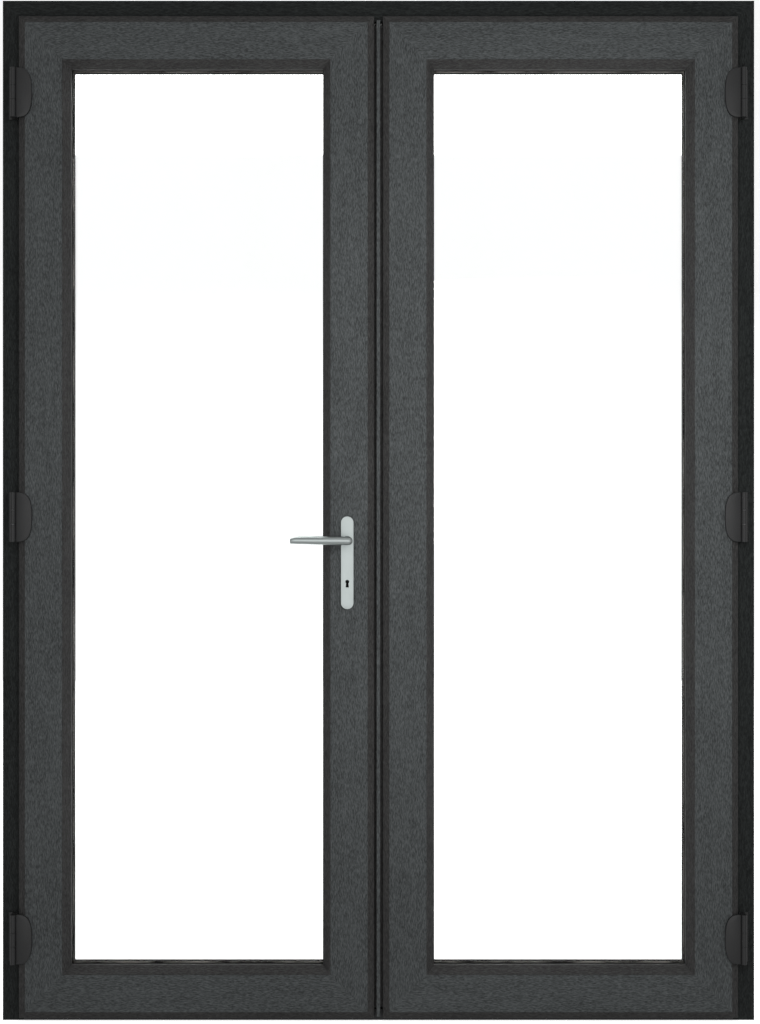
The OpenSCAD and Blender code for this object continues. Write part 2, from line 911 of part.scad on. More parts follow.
// ---------- flush bolts of the passive leaf ----------

module guide_block(z) {
    translate([0, 0, z]) difference() {
        span([mull_x + mull_web, rod_y - 8, 0], [mull_split, rod_y + 8, 16]);
        translate([rod_x, rod_y, -1]) cylinder(h = 18, r = rod_r + run_clear, $fn = 48);
    }
}

module flush_bolt_guides() {
    color("#b9bcbc") {
        for (z = [sash_top - 18, sash_top - rod_len + 24]) guide_block(z);
        for (z = [sash_bottom + 2, sash_bottom + rod_len - 40]) guide_block(z);
    }
}

module bolt_knob(z) {
    span([mull_x - 5, rod_y - 3, z - 7], [rod_x, rod_y + 3, z + 7]);
}

module top_flush_bolt() {
    color("#a4a7a9") {
        translate([rod_x, rod_y, sash_top + mull_gap + 1 - rod_len])
            cylinder(h = rod_len, r = rod_r, $fn = 48);
        bolt_knob(sash_top - knob_z);
    }
}

module bottom_flush_bolt() {
    color("#a4a7a9") {
        translate([rod_x, rod_y, sash_bottom - 2.4])
            cylinder(h = rod_len, r = rod_r, $fn = 48);
        bolt_knob(sash_bottom + knob_z);
    }
}

module flush_bolt_keeps() {
    color("#a4a7a9") difference() {
        union() {
            span([rod_x - 16, rod_y - 10, head_z - keep_t], [rod_x + 16, rod_y + 10, head_z]);
            span([rod_x - 15.8, rod_y - 7.8, threshold_h - 2],
                [rod_x + 15.8, break_y0 + 4, threshold_h]);
        }
        translate([rod_x, rod_y, head_z - 10]) cylinder(h = 20, r = rod_r + 0.8, $fn = 48);
        bolt_socket(rod_r + 0.8);
    }
}

// ---------- lock and handle of the active leaf ----------

module lock_faceplate() {
    color("#b4b7b9") difference() {
        span([-body_x - face_plate_t, groove_y - face_plate_w / 2, sash_bottom + 100],
            [-body_x, groove_y + face_plate_w / 2, sash_top - 100]);
        for (z = cam_z)
            span([-body_x - 10, groove_y - cam_r - 0.5, z - cam_r - 1],
                [0, groove_y + cam_r + 0.5, z + rail_travel + cam_r + 1]);
        span([-body_x - 10, groove_y - bolt_t / 2 - 0.3, key_z - bolt_h / 2 - 0.3],
            [0, groove_y + bolt_t / 2 + 0.3, key_z + bolt_h / 2 + 0.3]);
    }
}

module lock_rail() {
    color("#8d9092") {
        difference() {
            span([-body_x - face_plate_t - 0.3 - rail_t, groove_y - rail_w / 2, sash_bottom + 130],
                [-body_x - face_plate_t - 0.3, groove_y + rail_w / 2, sash_top - 150]);
            span([-body_x - 20, groove_y - bolt_t, key_z - bolt_h / 2 - rail_travel - 2],
                [0, groove_y + bolt_t, key_z + bolt_h / 2 + 2]);
        }
        // a bridge carries the rail past the dead bolt
        span([case_face + 0.3, groove_y + 5.4, key_z - bolt_h / 2 - rail_travel - 6],
            [-body_x - face_plate_t - 0.3, groove_y + 5.95, key_z + bolt_h / 2 + 6]);
        span([case_face + 0.7, groove_y + 4.9, key_z - bolt_h / 2 - rail_travel - 6],
            [-body_x - face_plate_t - 0.3, groove_y + 5.95, key_z - bolt_h / 2 - rail_travel - 2]);
        span([case_face + 0.7, groove_y + 4.9, key_z + bolt_h / 2 + 2],
            [-body_x - face_plate_t - 0.3, groove_y + 5.95, key_z + bolt_h / 2 + 6]);
        for (z = cam_z) translate([-body_x - face_plate_t - 1, groove_y, z])
            rotate([0, 90, 0]) cylinder(h = face_plate_t + 1 + cam_reach, r = cam_r, $fn = 48);
    }
}

module dead_bolt() {
    color("#a4a7a9") span([-body_x - 0.5 - bolt_len, groove_y - bolt_t / 2, key_z - bolt_h / 2],
        [-body_x - 0.5, groove_y + bolt_t / 2, key_z + bolt_h / 2]);
}

// keyhole: a round head with a slot that widens downwards
module key_shape(grow) {
    translate([0, key_head]) circle(r = key_head_r + grow, $fn = 32);
    polygon([[-key_slot_top_w - grow, key_head], [key_slot_top_w + grow, key_head],
        [key_slot_low_w + grow, key_slot_low - grow],
        [-key_slot_low_w - grow, key_slot_low - grow]]);
}

module key_hole(y0, length, grow = 0) {
    translate([lock_x, y0, key_z]) mirror([0, 1, 0]) rotate([90, 0, 0])
        linear_extrude(length) key_shape(grow);
}

module lock_case() {
    color("#9a9ca0") difference() {
        span([case_x, groove_y - case_t / 2, case_low],
            [case_face, groove_y + case_t / 2, case_high]);
        span([case_x + 2, groove_y - case_t / 2 + 2, lever_z - 40],
            [case_face - 2, groove_y + case_t / 2 - 2, case_high - 3]);
        rod_y_axis(lock_x, groove_y - case_t, lever_z, hub_r + run_clear, 2 * case_t);
        for (z = plate_screw_z()) rod_y_axis(lock_x, groove_y - case_t, z, screw_r, 2 * case_t);
        key_hole(groove_y - case_t, 2 * case_t, 0.6);
        span([-body_x - bolt_len - 2.5, groove_y - bolt_t / 2 - 0.3, key_z - bolt_h / 2 - 0.3],
            [0, groove_y + bolt_t / 2 + 0.3, key_z + bolt_h / 2 + 0.3]);
    }
}

// backplate standing on a leaf face, its outer edge stepped in once
module handle_plate(y_low, y_high, small_low) {
    half = plate_len / 2 - plate_w / 2;
    difference() {
        union() {
            plate_layer(small_low ? y_low + plate_step : y_low,
                small_low ? y_high : y_high - plate_step, 0, half);
            plate_layer(y_low, y_high, plate_step, half);
        }
        rod_y_axis(lock_x, y_low - 1, lever_z, neck_r + run_clear, plate_t + 2);
        key_hole(y_low - 1, plate_t + 2);
        for (z = plate_screw_z())
            rod_y_axis(lock_x, small_low ? y_low + 3 : y_low - 1, z, screw_r, plate_t - 2);
    }
}

module plate_layer(y0, y1, inset, half) {
    translate([lock_x, y1, plate_mid]) rotate([90, 0, 0]) linear_extrude(y1 - y0) {
        for (s = [-1, 1]) translate([0, s * half]) circle(r = plate_w / 2 - inset, $fn = 64);
        square([plate_w - 2 * inset, 2 * half], center = true);
    }
}

module handle_plate_inner() {
    color("#c2c7c7") handle_plate(leaf_front - plate_t, leaf_front, true);
}

module handle_plate_outer() {
    color("#c2c7c7") handle_plate(leaf_back, leaf_back + plate_t, false);
}

// long screws draw the two plates together through the lock case
module handle_screws() {
    color("#a4a7a9") for (z = plate_screw_z())
        rod_y_axis(lock_x, leaf_front - plate_t + 3, z, screw_r, leaf_depth + 2 * plate_t - 6);
}

// the grip seen from the front: full at the root, slimmer to the tip
module grip_outline() {
    circle(r = neck_r, $fn = 64);
    polygon([[0, 9.5], [0, -9.5], [-lever_len + 3, -7], [-lever_len, -4], [-lever_len, 2],
        [-lever_len + 3, 5], [-lever_len * 0.55, 8]]);
}

// a lever standing off its plate; y_plate is the plate's outer face
module lever(y_plate, dir) {
    y_grip = y_plate + dir * lever_gap;
    difference() {
        union() {
            rod_y_axis(lock_x, dir > 0 ? y_plate - plate_t + 2 : y_grip, lever_z, neck_r,
                lever_gap + plate_t - 2);
            translate([lock_x, dir > 0 ? y_grip + lever_t : y_grip, lever_z])
                rotate([90, 0, 0]) linear_extrude(lever_t) grip_outline();
        }
        span([lock_x - spindle_w / 2, min(y_plate, y_grip) - 10, lever_z - spindle_w / 2],
            [lock_x + spindle_w / 2, max(y_plate, y_grip) + 10, lever_z + spindle_w / 2]);
    }
}

module lever_inner() {
    color("#c2c7c7") lever(leaf_front - plate_t, -1);
}

module lever_outer() {
    color("#c2c7c7") lever(leaf_back + plate_t, 1);
}

module lever_spindle() {
    color("#8d9092") {
        span([lock_x - spindle_w / 2, spindle_in, lever_z - spindle_w / 2],
            [lock_x + spindle_w / 2, spindle_out, lever_z + spindle_w / 2]);
        rod_y_axis(lock_x, groove_y - case_t / 2, lever_z, hub_r, case_t);
    }
}

frame_jamb_left();
frame_jamb_right();
frame_head();
frame_reinforcement();
threshold_inner();
threshold_thermal_break();
threshold_outer();
threshold_end_blocks();
frame_seals();
hinge_frame_knuckles();
hinge_pins();
flush_bolt_keeps();
left_hinge_stile();
left_lock_stile();
left_top_rail();
left_bottom_rail();
left_reinforcement();
left_glass();
left_spacer();
left_glazing_beads();
left_glazing_gaskets();
left_setting_blocks();
left_drip_bar();
left_flange_seal();
left_hinge_flaps();
left_hinge_bushes();
left_hinge_covers();
right_hinge_stile();
right_meeting_stile();
right_top_rail();
right_bottom_rail();
right_reinforcement();
right_glass();
right_spacer();
right_glazing_beads();
right_glazing_gaskets();
right_setting_blocks();
right_drip_bar();
right_flange_seal();
right_hinge_flaps();
right_hinge_bushes();
right_hinge_covers();
mullion();
mullion_end_caps();
mullion_cover();
lock_keeps();
flush_bolt_guides();
top_flush_bolt();
bottom_flush_bolt();
lock_faceplate();
lock_case();
handle_plate_inner();
handle_plate_outer();
handle_screws();
lever_inner();
lever_outer();
lever_spindle();
lock_rail();
dead_bolt();
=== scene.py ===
"""Looks of a pair of glazed french doors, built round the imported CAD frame.

Sizes are in metres in the CAD frame: +Z up, -Y towards the room, origin under
the middle of the threshold. Each sub-assembly is a class whose fields hold its
sizes; main() builds them in order.
"""

import json
import logging
import math
from dataclasses import dataclass
from enum import Enum
from typing import Callable, Iterable, Sequence

import bmesh
import bpy
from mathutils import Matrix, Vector


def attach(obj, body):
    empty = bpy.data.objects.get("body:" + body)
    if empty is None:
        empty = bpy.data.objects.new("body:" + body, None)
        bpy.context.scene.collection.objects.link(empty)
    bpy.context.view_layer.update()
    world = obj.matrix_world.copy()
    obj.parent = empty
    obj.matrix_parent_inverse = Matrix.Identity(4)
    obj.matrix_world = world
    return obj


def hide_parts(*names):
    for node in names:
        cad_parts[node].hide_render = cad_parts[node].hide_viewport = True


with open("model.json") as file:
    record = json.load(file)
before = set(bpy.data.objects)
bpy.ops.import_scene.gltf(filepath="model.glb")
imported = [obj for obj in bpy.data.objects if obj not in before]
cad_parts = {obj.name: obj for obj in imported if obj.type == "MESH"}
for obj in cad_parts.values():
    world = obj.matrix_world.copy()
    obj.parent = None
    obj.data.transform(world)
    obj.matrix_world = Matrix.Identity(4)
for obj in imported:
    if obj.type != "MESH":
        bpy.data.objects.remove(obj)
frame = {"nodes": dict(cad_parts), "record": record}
LOG = logging.getLogger("doors")
MM = 0.001
TOUCH = 1e-5  # distance under which a point counts as lying on a face
CORNER_STEPS = 4
END_STEPS = 20
BORE_STEPS = 32
Point2 = tuple[float, float]
Point3 = tuple[float, float, float]


class Sock:
    """A shader value with arithmetic, so that patterns read as formulas."""

    def __init__(self, shader: "Shader", socket: bpy.types.NodeSocket) -> None:
        """Wraps one output socket.

        Args:
            shader: The shader whose node tree holds the socket.
            socket: The output socket itself.
        """
        self.shader = shader
        self.socket = socket

    def _math(self, operation: str, other: "Sock | float") -> "Sock":
        """Adds a Math node.

        Args:
            operation: Blender's name of the operation.
            other: The second operand.

        Returns:
            The node's result.
        """
        return self.shader.node("ShaderNodeMath", {0: self, 1: other}, operation=operation)

    def __add__(self, other: "Sock | float") -> "Sock":
        """Returns self + other."""
        return self._math("ADD", other)

    def __mul__(self, other: "Sock | float") -> "Sock":
        """Returns self * other."""
        return self._math("MULTIPLY", other)

    def step(self, low: float, high: float) -> "Sock":
        """Rises smoothly from 0 to 1.

        Args:
            low: Where the rise starts.
            high: Where the rise ends.

        Returns:
            A value from 0 to 1.
        """
        inputs = {0: self, 1: low, 2: high, 3: 0.0, 4: 1.0}
        return self.shader.node(
            "ShaderNodeMapRange", inputs, interpolation_type="SMOOTHSTEP"
        )

    def blend(self, low: Sequence[float], high: Sequence[float]) -> "Sock":
        """Mixes two colours by this value.

        Args:
            low: Linear RGB at 0.
            high: Linear RGB at 1.

        Returns:
            The mixed colour.
        """
        inputs = {0: self, 6: (*low, 1.0), 7: (*high, 1.0)}
        return self.shader.node(
            "ShaderNodeMix", inputs, out=2, data_type="RGBA", clamp_factor=True
        )


class Shader:
    """Builds one material's node tree round a Principled BSDF."""

    def __init__(self, name: str) -> None:
        """Starts an empty material.

        Args:
            name: The material's name.
        """
        self.material = bpy.data.materials.new(name)
        self.material.use_nodes = True
        self.tree = self.material.node_tree
        self.bsdf = self.tree.nodes["Principled BSDF"]

    def node(
        self, kind: str, inputs: dict[int | str, object], out: int | str = 0,
        **props: object,
    ) -> Sock:
        """Adds a node.

        Args:
            kind: The node's type name.
            inputs: Input names or numbers with their values or sockets.
            out: The output to return.
            props: Node properties to set first.

        Returns:
            The wrapped output.
        """
        made = self.tree.nodes.new(kind)
        for key, value in props.items():
            setattr(made, key, value)
        for key, value in inputs.items():
            if isinstance(value, Sock):
                self.tree.links.new(value.socket, made.inputs[key])
            else:
                made.inputs[key].default_value = value
        return Sock(self, made.outputs[out])

    def stretched(self, scale: Point3) -> Sock:
        """Object coordinates scaled on each axis.

        Args:
            scale: Repeats per metre along X, Y and Z.

        Returns:
            The vector.
        """
        coords = self.node("ShaderNodeTexCoord", {}, out="Object")
        return self.node("ShaderNodeMapping", {"Vector": coords, "Scale": scale})

    def depth(self) -> Sock:
        """The depth in the CAD frame of the point being shaded.

        Returns:
            Y in metres.
        """
        coords = self.node("ShaderNodeTexCoord", {}, out="Object")
        return self.node("ShaderNodeSeparateXYZ", {"Vector": coords}, out="Y")

    def noise(self, scale: Point3, detail: float = 2.0, rough: float = 0.5) -> Sock:
        """A noise pattern in the piece's own space.

        Args:
            scale: Repeats per metre along X, Y and Z.
            detail: Octaves.
            rough: How strong the finer octaves are.

        Returns:
            A value of about 0.2 to 0.8.
        """
        inputs = {
            "Vector": self.stretched(scale),
            "Scale": 1.0,
            "Detail": detail,
            "Roughness": rough,
        }
        return self.node("ShaderNodeTexNoise", inputs, out=0)

    def set(self, **values: "Sock | float | Sequence[float]") -> None:
        """Sets or links the BSDF's inputs.

        Args:
            values: Input names, with underscores for spaces.
        """
        for key, value in values.items():
            socket = self.bsdf.inputs[key.replace("_", " ")]
            if isinstance(value, Sock):
                self.tree.links.new(value.socket, socket)
            else:
                socket.default_value = value

    def bump(self, height: Sock, distance: float, strength: float = 1.0) -> None:
        """Feeds a bump into the Normal input.

        Args:
            height: The height pattern, 0 to 1.
            distance: Real height of the pattern in metres.
            strength: How much of it is used.
        """
        inputs = {"Height": height, "Distance": distance, "Strength": strength}
        self.set(Normal=self.node("ShaderNodeBump", inputs))


class Grain(Enum):
    """The way a bar's grain runs."""

    UP = "up"
    ACROSS = "across"

    def scale(self, across: float, along: float) -> Point3:
        """Repeats per metre on each axis for a pattern stretched along a bar.

        Args:
            across: Repeats per metre across the bar.
            along: Repeats per metre along it.

        Returns:
            The scale on X, Y and Z.
        """
        if self is Grain.UP:
            return (across, across, along)
        return (along, across, across)


@dataclass(frozen=True)
class Foil:
    """Embossed woodgrain foil on plastic bars.

    Args:
        dark: Linear colour between the pores' ridges.
        light: Linear colour of the rubbed ridges.
        emboss: Depth of the embossing in metres.
        rough: Mean roughness.
        contrast: How strongly the streaks show, 0 to 1.
        gloss: Specular level.
    """

    dark: Point3
    light: Point3
    emboss: float = 0.00022
    rough: float = 0.52
    contrast: float = 1.0
    gloss: float = 0.22

    def build(self, name: str, grain: Grain) -> bpy.types.Material:
        """Makes the material.

        Args:
            name: The material's name.
            grain: The way the grain runs.

        Returns:
            The material.
        """
        s = Shader(f"{name}_{grain.value}")
        pores = s.noise(grain.scale(950.0, 170.0), 2.0, 0.55)
        ticks = s.noise(grain.scale(640.0, 95.0), 2.0, 0.5)
        figure = s.noise(grain.scale(60.0, 7.0), 3.0, 0.5)
        cloud = s.noise((5.0, 5.0, 5.0), 2.0, 0.5)
        streak = pores.step(0.40, 0.62) * 0.45 + ticks.step(0.42, 0.62) * 0.55
        tone = streak * self.contrast * 0.84 + figure.step(0.3, 0.7) * 0.1
        tone = tone + cloud.step(0.3, 0.7) * 0.08
        s.set(
            Base_Color=tone.blend(self.dark, self.light),
            Roughness=tone * -0.14 + (self.rough + 0.08),
            Specular_IOR_Level=self.gloss,
        )
        s.bump(streak, self.emboss, 0.55)
        return s.material


@dataclass(frozen=True)
class Metal:
    """Bare, plated or anodised metal with a fine directional finish.

    Args:
        colour: Linear colour.
        rough: Mean roughness.
        line: Repeats per metre across and along the brushing.
        grain: The way the brushing runs.
        mottle: Strength of the spangle or clouding.
    """

    colour: Point3
    rough: float = 0.32
    line: Point2 = (2600.0, 90.0)
    grain: Grain = Grain.UP
    mottle: float = 0.08

    def build(self, name: str) -> bpy.types.Material:
        """Makes the material.

        Args:
            name: The material's name.

        Returns:
            The material.
        """
        s = Shader(name)
        brush = s.noise(self.grain.scale(*self.line), 2.0, 0.5)
        cloud = s.noise((55.0, 55.0, 55.0), 3.0, 0.55).step(0.3, 0.7)
        low = tuple(c * (1.0 - self.mottle) for c in self.colour)
        high = tuple(min(1.0, c * (1.0 + self.mottle)) for c in self.colour)
        s.set(
            Base_Color=(cloud * 0.6 + brush * 0.4).blend(low, high),
            Metallic=1.0,
            Roughness=brush * 0.12 + cloud * 0.05 + (self.rough - 0.08),
        )
        s.bump(brush, 0.00001, 0.4)
        return s.material


@dataclass(frozen=True)
class Plastic:
    """Moulded plastic, nylon or rubber with a fine spark-eroded texture.

    Args:
        colour: Linear colour.
        rough: Mean roughness.
        texture: Depth of the moulded texture in metres.
        shift: Share by which the tone wanders.
        gloss: Specular level.
        shade_band_from: Depth past which the part is painted near black as shade.
    """

    colour: Point3
    rough: float = 0.45
    texture: float = 0.00003
    shift: float = 0.12
    gloss: float = 0.5
    shade_band_from: float | None = None

    def build(self, name: str) -> bpy.types.Material:
        """Makes the material.

        Args:
            name: The material's name.

        Returns:
            The material.
        """
        s = Shader(name)
        fine = s.noise((1500.0, 1500.0, 1500.0), 2.0, 0.5)
        soft = s.noise((14.0, 14.0, 9.0), 3.0, 0.55).step(0.3, 0.7)
        low = tuple(c * (1.0 - self.shift) for c in self.colour)
        high = tuple(c * (1.0 + self.shift) for c in self.colour)
        tone = soft * 0.8 + fine * 0.2
        # Painted shade: past this depth the part turns near black, standing in for the shaded
        # line along the glass edge.
        if self.shade_band_from is not None:
            shade_band = s.depth().step(self.shade_band_from, self.shade_band_from + 0.0004)
            low = (0.002, 0.002, 0.002)
            tone = tone * (shade_band * -1.0 + 1.0)
        s.set(
            Base_Color=tone.blend(low, high),
            Roughness=soft * 0.1 + (self.rough - 0.05),
            Specular_IOR_Level=self.gloss,
        )
        s.bump(fine, self.texture, 0.5)
        return s.material


@dataclass(frozen=True)
class Glass:
    """Clear float glass, with hardly seen wipe marks.

    Args:
        tint: Linear colour of the body.
    """

    tint: Point3 = (0.993, 0.998, 0.996)

    def build(self, name: str) -> bpy.types.Material:
        """Makes the material.

        Args:
            name: The material's name.

        Returns:
            The material.
        """
        s = Shader(name)
        wipe = s.noise((6.0, 6.0, 2.2), 3.0, 0.5).step(0.45, 0.75)
        s.set(
            Base_Color=wipe.blend(self.tint, tuple(c * 0.997 for c in self.tint)),
            Roughness=wipe * 0.012,
            IOR=1.45,
            Specular_IOR_Level=0.08,
            Transmission_Weight=1.0,
        )
        return s.material


FOILS: dict[str, Foil] = {
    "frame_foil": Foil((0.0048, 0.0057, 0.0056), (0.0212, 0.0240, 0.0236), gloss=0.12),
    "leaf_foil": Foil((0.021, 0.0229, 0.0232), (0.082, 0.0900, 0.0918)),
    # Painted shade: a darker copy of the leaf foil for the tilted bevels and side faces.
    "bevel_shade_foil": Foil((0.0145, 0.0142, 0.0140), (0.046, 0.0452, 0.0445), 0.00012, 0.6),
    # Painted shadow: a near-black matt copy of the foil on the weather leg round the glass.
    "leg_shadow_foil": Foil((0.008, 0.008, 0.008), (0.020, 0.020, 0.020), gloss=0.0),
    # Painted shade: a darker copy of the leaf foil on the beads' sloped faces.
    "bead_foil": Foil((0.0190, 0.0188, 0.0186), (0.058, 0.0575, 0.057), 0.00012, 0.6),
}
PLAIN: dict[str, Metal | Plastic | Glass] = {
    "satin_aluminium": Metal((0.480, 0.525, 0.519), 0.36, (2400.0, 160.0), mottle=0.03),
    "bright_steel": Metal((0.52, 0.52, 0.51), 0.34),
    "galvanised_steel": Metal((0.40, 0.41, 0.42), 0.42, (300.0, 160.0), mottle=0.22),
    "threshold_aluminium": Metal(
        (0.038, 0.039, 0.040), 0.45, (1800.0, 20.0), Grain.ACROSS
    ),
    # The spacer's outer band is painted near black as the shade along the glass edge.
    "spacer_metal": Plastic((0.22, 0.209, 0.193), 0.7, gloss=0.0, shade_band_from=-0.008),
    "hinge_plastic": Plastic((0.0165, 0.0168, 0.0172), 0.42, gloss=0.4),
    "dark_plastic": Plastic((0.015, 0.016, 0.017), 0.5),
    "seal_rubber": Plastic((0.005, 0.005, 0.0053), 0.7, 0.00006, gloss=0.02),
    "nylon": Plastic((0.62, 0.61, 0.57), 0.45),
    "block_plastic": Plastic((0.36, 0.05, 0.03), 0.5),
    # Painted shade: near-black colour of the sheet behind the keyhole.
    "keyhole_void": Plastic((0.001, 0.001, 0.001), 0.9),
    "clear_glass": Glass(),
}


class Palette:
    """All finishes of the doors, built once."""

    def __init__(self) -> None:
        """Builds every material."""
        self.foils = {(n, g): f.build(n, g) for n, f in FOILS.items() for g in Grain}
        self.plain = {n: f.build(n) for n, f in PLAIN.items()}

    def foil(self, grain: Grain, *names: str) -> list[bpy.types.Material]:
        """The foils of a bar.

        Args:
            grain: The way its grain runs.
            names: The foils' names.

        Returns:
            Their materials.
        """
        return [self.foils[name, grain] for name in names]


def rounded(points: Sequence[Point2], radii: Sequence[float]) -> list[Point2]:
    """Rounds a polygon's corners.

    Args:
        points: The corners in order.
        radii: One radius a corner; 0 keeps it sharp.

    Returns:
        The rounded outline.
    """
    out: list[Point2] = []
    count = len(points)
    for i, (here, radius) in enumerate(zip(points, radii)):
        if radius <= 0:
            out.append(here)
            continue
        p = Vector(here)
        a = (Vector(points[i - 1]) - p).normalized()
        b = (Vector(points[(i + 1) % count]) - p).normalized()
        half = math.acos(max(-1.0, min(1.0, a.dot(b)))) / 2
        centre = p + (a + b).normalized() * (radius / math.sin(half))
        reach = radius / math.tan(half)
        start, end = p + a * reach - centre, p + b * reach - centre
        sweep = start.angle_signed(end)
        for k in range(CORNER_STEPS + 1):
            turn = -sweep * k / CORNER_STEPS
            c, s = math.cos(turn), math.sin(turn)
            at = Vector((start.x * c - start.y * s, start.x * s + start.y * c)) + centre
            out.append((at.x, at.y))
    return out


def stadium(width: float, length: float) -> list[Point2]:
    """A slot-shaped outline standing upright round the origin.

    Args:
        width: Overall width.
        length: Overall length.

    Returns:
        The outline.
    """
    r, half = width / 2, (length - width) / 2
    out = []
    for centre, start in ((half, 0.0), (-half, math.pi)):
        for k in range(END_STEPS + 1):
            a = start + math.pi * k / END_STEPS
            out.append((r * math.cos(a), centre + r * math.sin(a)))
    return out


def spot(point: Vector) -> Point3:
    """Rounds a point so that it can be looked up.

    Args:
        point: The point.

    Returns:
        Its coordinates to a ten-thousandth of a millimetre.
    """
    return (round(point.x, 7), round(point.y, 7), round(point.z, 7))


class Axis(Enum):
    """Direction of a turned part's axis."""

    X = 0
    Y = 1
    Z = 2

    def point(self, along: float, first: float, second: float) -> Point3:
        """A point given by its place along the axis and on the other two.

        Args:
            along: Place along the axis.
            first: Place on the first other axis.
            second: Place on the second.

        Returns:
            The point.
        """
        place = [first, second]
        place.insert(self.value, along)
        return (place[0], place[1], place[2])

    def ring(
        self, along: float, first: float, second: float, radius: float
    ) -> list[Point3]:
        """A circle round the axis.

        Args:
            along: Place along the axis.
            first: Its centre on the first other axis.
            second: Its centre on the second.
            radius: Its radius.

        Returns:
            The points.
        """
        turns = [math.tau * k / BORE_STEPS for k in range(BORE_STEPS)]
        return [
            self.point(along, first + radius * math.cos(a), second + radius * math.sin(a))
            for a in turns
        ]


class Piece:
    """One mesh while it is being built."""

    def __init__(self, name: str) -> None:
        """Starts an empty mesh.

        Args:
            name: The object's name.
        """
        self.name = name
        self.bm = bmesh.new()

    def loft(self, rings: Sequence[Sequence[Point3]]) -> None:
        """Extrudes a face through rings of the same number of points.

        Args:
            rings: The rings in order.
        """
        bm = self.bm
        face = bm.faces.new([bm.verts.new(p) for p in rings[0]])
        verts = list(face.verts)
        for ring in rings[1:]:
            order = {spot(v.co): i for i, v in enumerate(verts)}
            region = [face, *face.edges, *face.verts]
            grown = bmesh.ops.extrude_face_region(bm, geom=region)["geom"]
            face = next(g for g in grown if isinstance(g, bmesh.types.BMFace))
            verts = sorted(face.verts, key=lambda v: order[spot(v.co)])
            for vert, point in zip(verts, ring):
                vert.co = point

    def spin(self, profile: Sequence[Point2], first: float, second: float,
             steps: int = 40, axis: Axis = Axis.Z) -> None:
        """Turns a profile round an axis.

        Args:
            profile: Points of (radius, place along the axis).
            first: The axis's place on the first of the two other axes.
            second: Its place on the second one.
            steps: Segments.
            axis: The axis's direction.
        """
        bm = self.bm
        verts = [bm.verts.new(axis.point(t, first + r, second)) for r, t in profile]
        edges = [bm.edges.new(pair) for pair in zip(verts, verts[1:])]
        bmesh.ops.spin(
            bm, geom=verts + edges, cent=axis.point(0.0, first, second),
            axis=axis.point(1.0, 0.0, 0.0), angle=math.tau, steps=steps, use_merge=True,
        )
        bmesh.ops.remove_doubles(bm, verts=bm.verts[:], dist=1e-6)

    def _outline(self, loop: Sequence[Point3]) -> list[bmesh.types.BMVert]:
        """Draws a closed loop of edges.

        Args:
            loop: Its points.

        Returns:
            Its corners.
        """
        verts = [self.bm.verts.new(p) for p in loop]
        for pair in zip(verts, verts[1:] + verts[:1]):
            self.bm.edges.new(pair)
        return verts

    def holed(self, loops: Sequence[Sequence[Point3]], push: Point3) -> None:
        """Fills nested loops and extrudes them.

        Args:
            loops: The outer loop and its holes.
            push: The extrusion.
        """
        bm = self.bm
        for loop in loops:
            self._outline(loop)
        edges = bm.edges[:]
        filled = bmesh.ops.triangle_fill(bm, edges=edges, use_beauty=True)["geom"]
        faces = [g for g in filled if isinstance(g, bmesh.types.BMFace)]
        grown = bmesh.ops.extrude_face_region(bm, geom=faces)["geom"]
        verts = [g for g in grown if isinstance(g, bmesh.types.BMVert)]
        bmesh.ops.translate(bm, verts=verts, vec=push)

    def _cut(self, loops: Sequence[Sequence[Point3]]) -> list[list[bmesh.types.BMVert]]:
        """Cuts openings into the flat face that they lie on.

        Args:
            loops: The openings' outlines.

        Returns:
            The corners of each opening.
        """
        bm = self.bm
        bm.normal_update()
        at = Vector(loops[0][0])
        face = next(
            f for f in bm.faces
            if abs((at - f.verts[0].co).dot(f.normal)) < TOUCH
            and bmesh.geometry.intersect_face_point(f, at)
        )
        edges = list(face.edges)
        bm.faces.remove(face)
        cuts = [self._outline(loop) for loop in loops]
        edges += [e for e in bm.edges if not e.link_faces]
        bmesh.ops.triangle_fill(bm, edges=edges, use_beauty=True)
        return cuts

    def bore(
        self, loops: Sequence[Sequence[Point3]], push: Point3, through: bool = False
    ) -> None:
        """Sinks openings into a flat face.

        Args:
            loops: Their outlines on the face.
            push: How deep they go, and which way.
            through: Whether they come out on the far side.
        """
        deep = [[tuple(Vector(p) + Vector(push)) for p in loop] for loop in loops]
        near = self._cut(loops)
        if through:
            far = self._cut(deep)
        else:
            far = [[self.bm.verts.new(p) for p in loop] for loop in deep]
            for verts in far:
                self.bm.faces.new(verts)
        for a, b in zip(near, far):
            for i in range(len(a)):
                self.bm.faces.new((a[i - 1], a[i], b[i], b[i - 1]))

    def box(self, low: Point3, high: Point3, soften: float) -> None:
        """Adds a box with softened edges.

        Args:
            low: Lowest corner.
            high: Highest corner.
            soften: Edge radius.
        """
        bm = self.bm
        made = bmesh.ops.create_cube(bm, size=1.0)["verts"]
        size = [b - a for a, b in zip(low, high)]
        mid = [(a + b) / 2 for a, b in zip(low, high)]
        bmesh.ops.scale(bm, vec=size, verts=made)
        bmesh.ops.translate(bm, vec=mid, verts=made)
        edges = list({e for v in made for e in v.link_edges})
        self.soften(edges, soften, 2)

    def soften(self, edges: Iterable[bmesh.types.BMEdge], size: float, steps: int = 3) -> None:
        """Rounds edges.

        Args:
            edges: The edges.
            size: Radius.
            steps: Segments.
        """
        bmesh.ops.bevel(
            self.bm, geom=list(edges), offset=size, segments=steps, profile=0.5,
            affect="EDGES", material=-1, clamp_overlap=True,
        )

    def rim(self, test: Callable[[Vector], bool]) -> list[bmesh.types.BMEdge]:
        """Finds sharp edges lying where a test holds.

        Args:
            test: Takes a point.

        Returns:
            The edges.
        """
        self.bm.normal_update()
        return [
            e
            for e in self.bm.edges
            if all(test(v.co) for v in e.verts)
            and len(e.link_faces) == 2
            and e.calc_face_angle(0.0) > 0.5
        ]

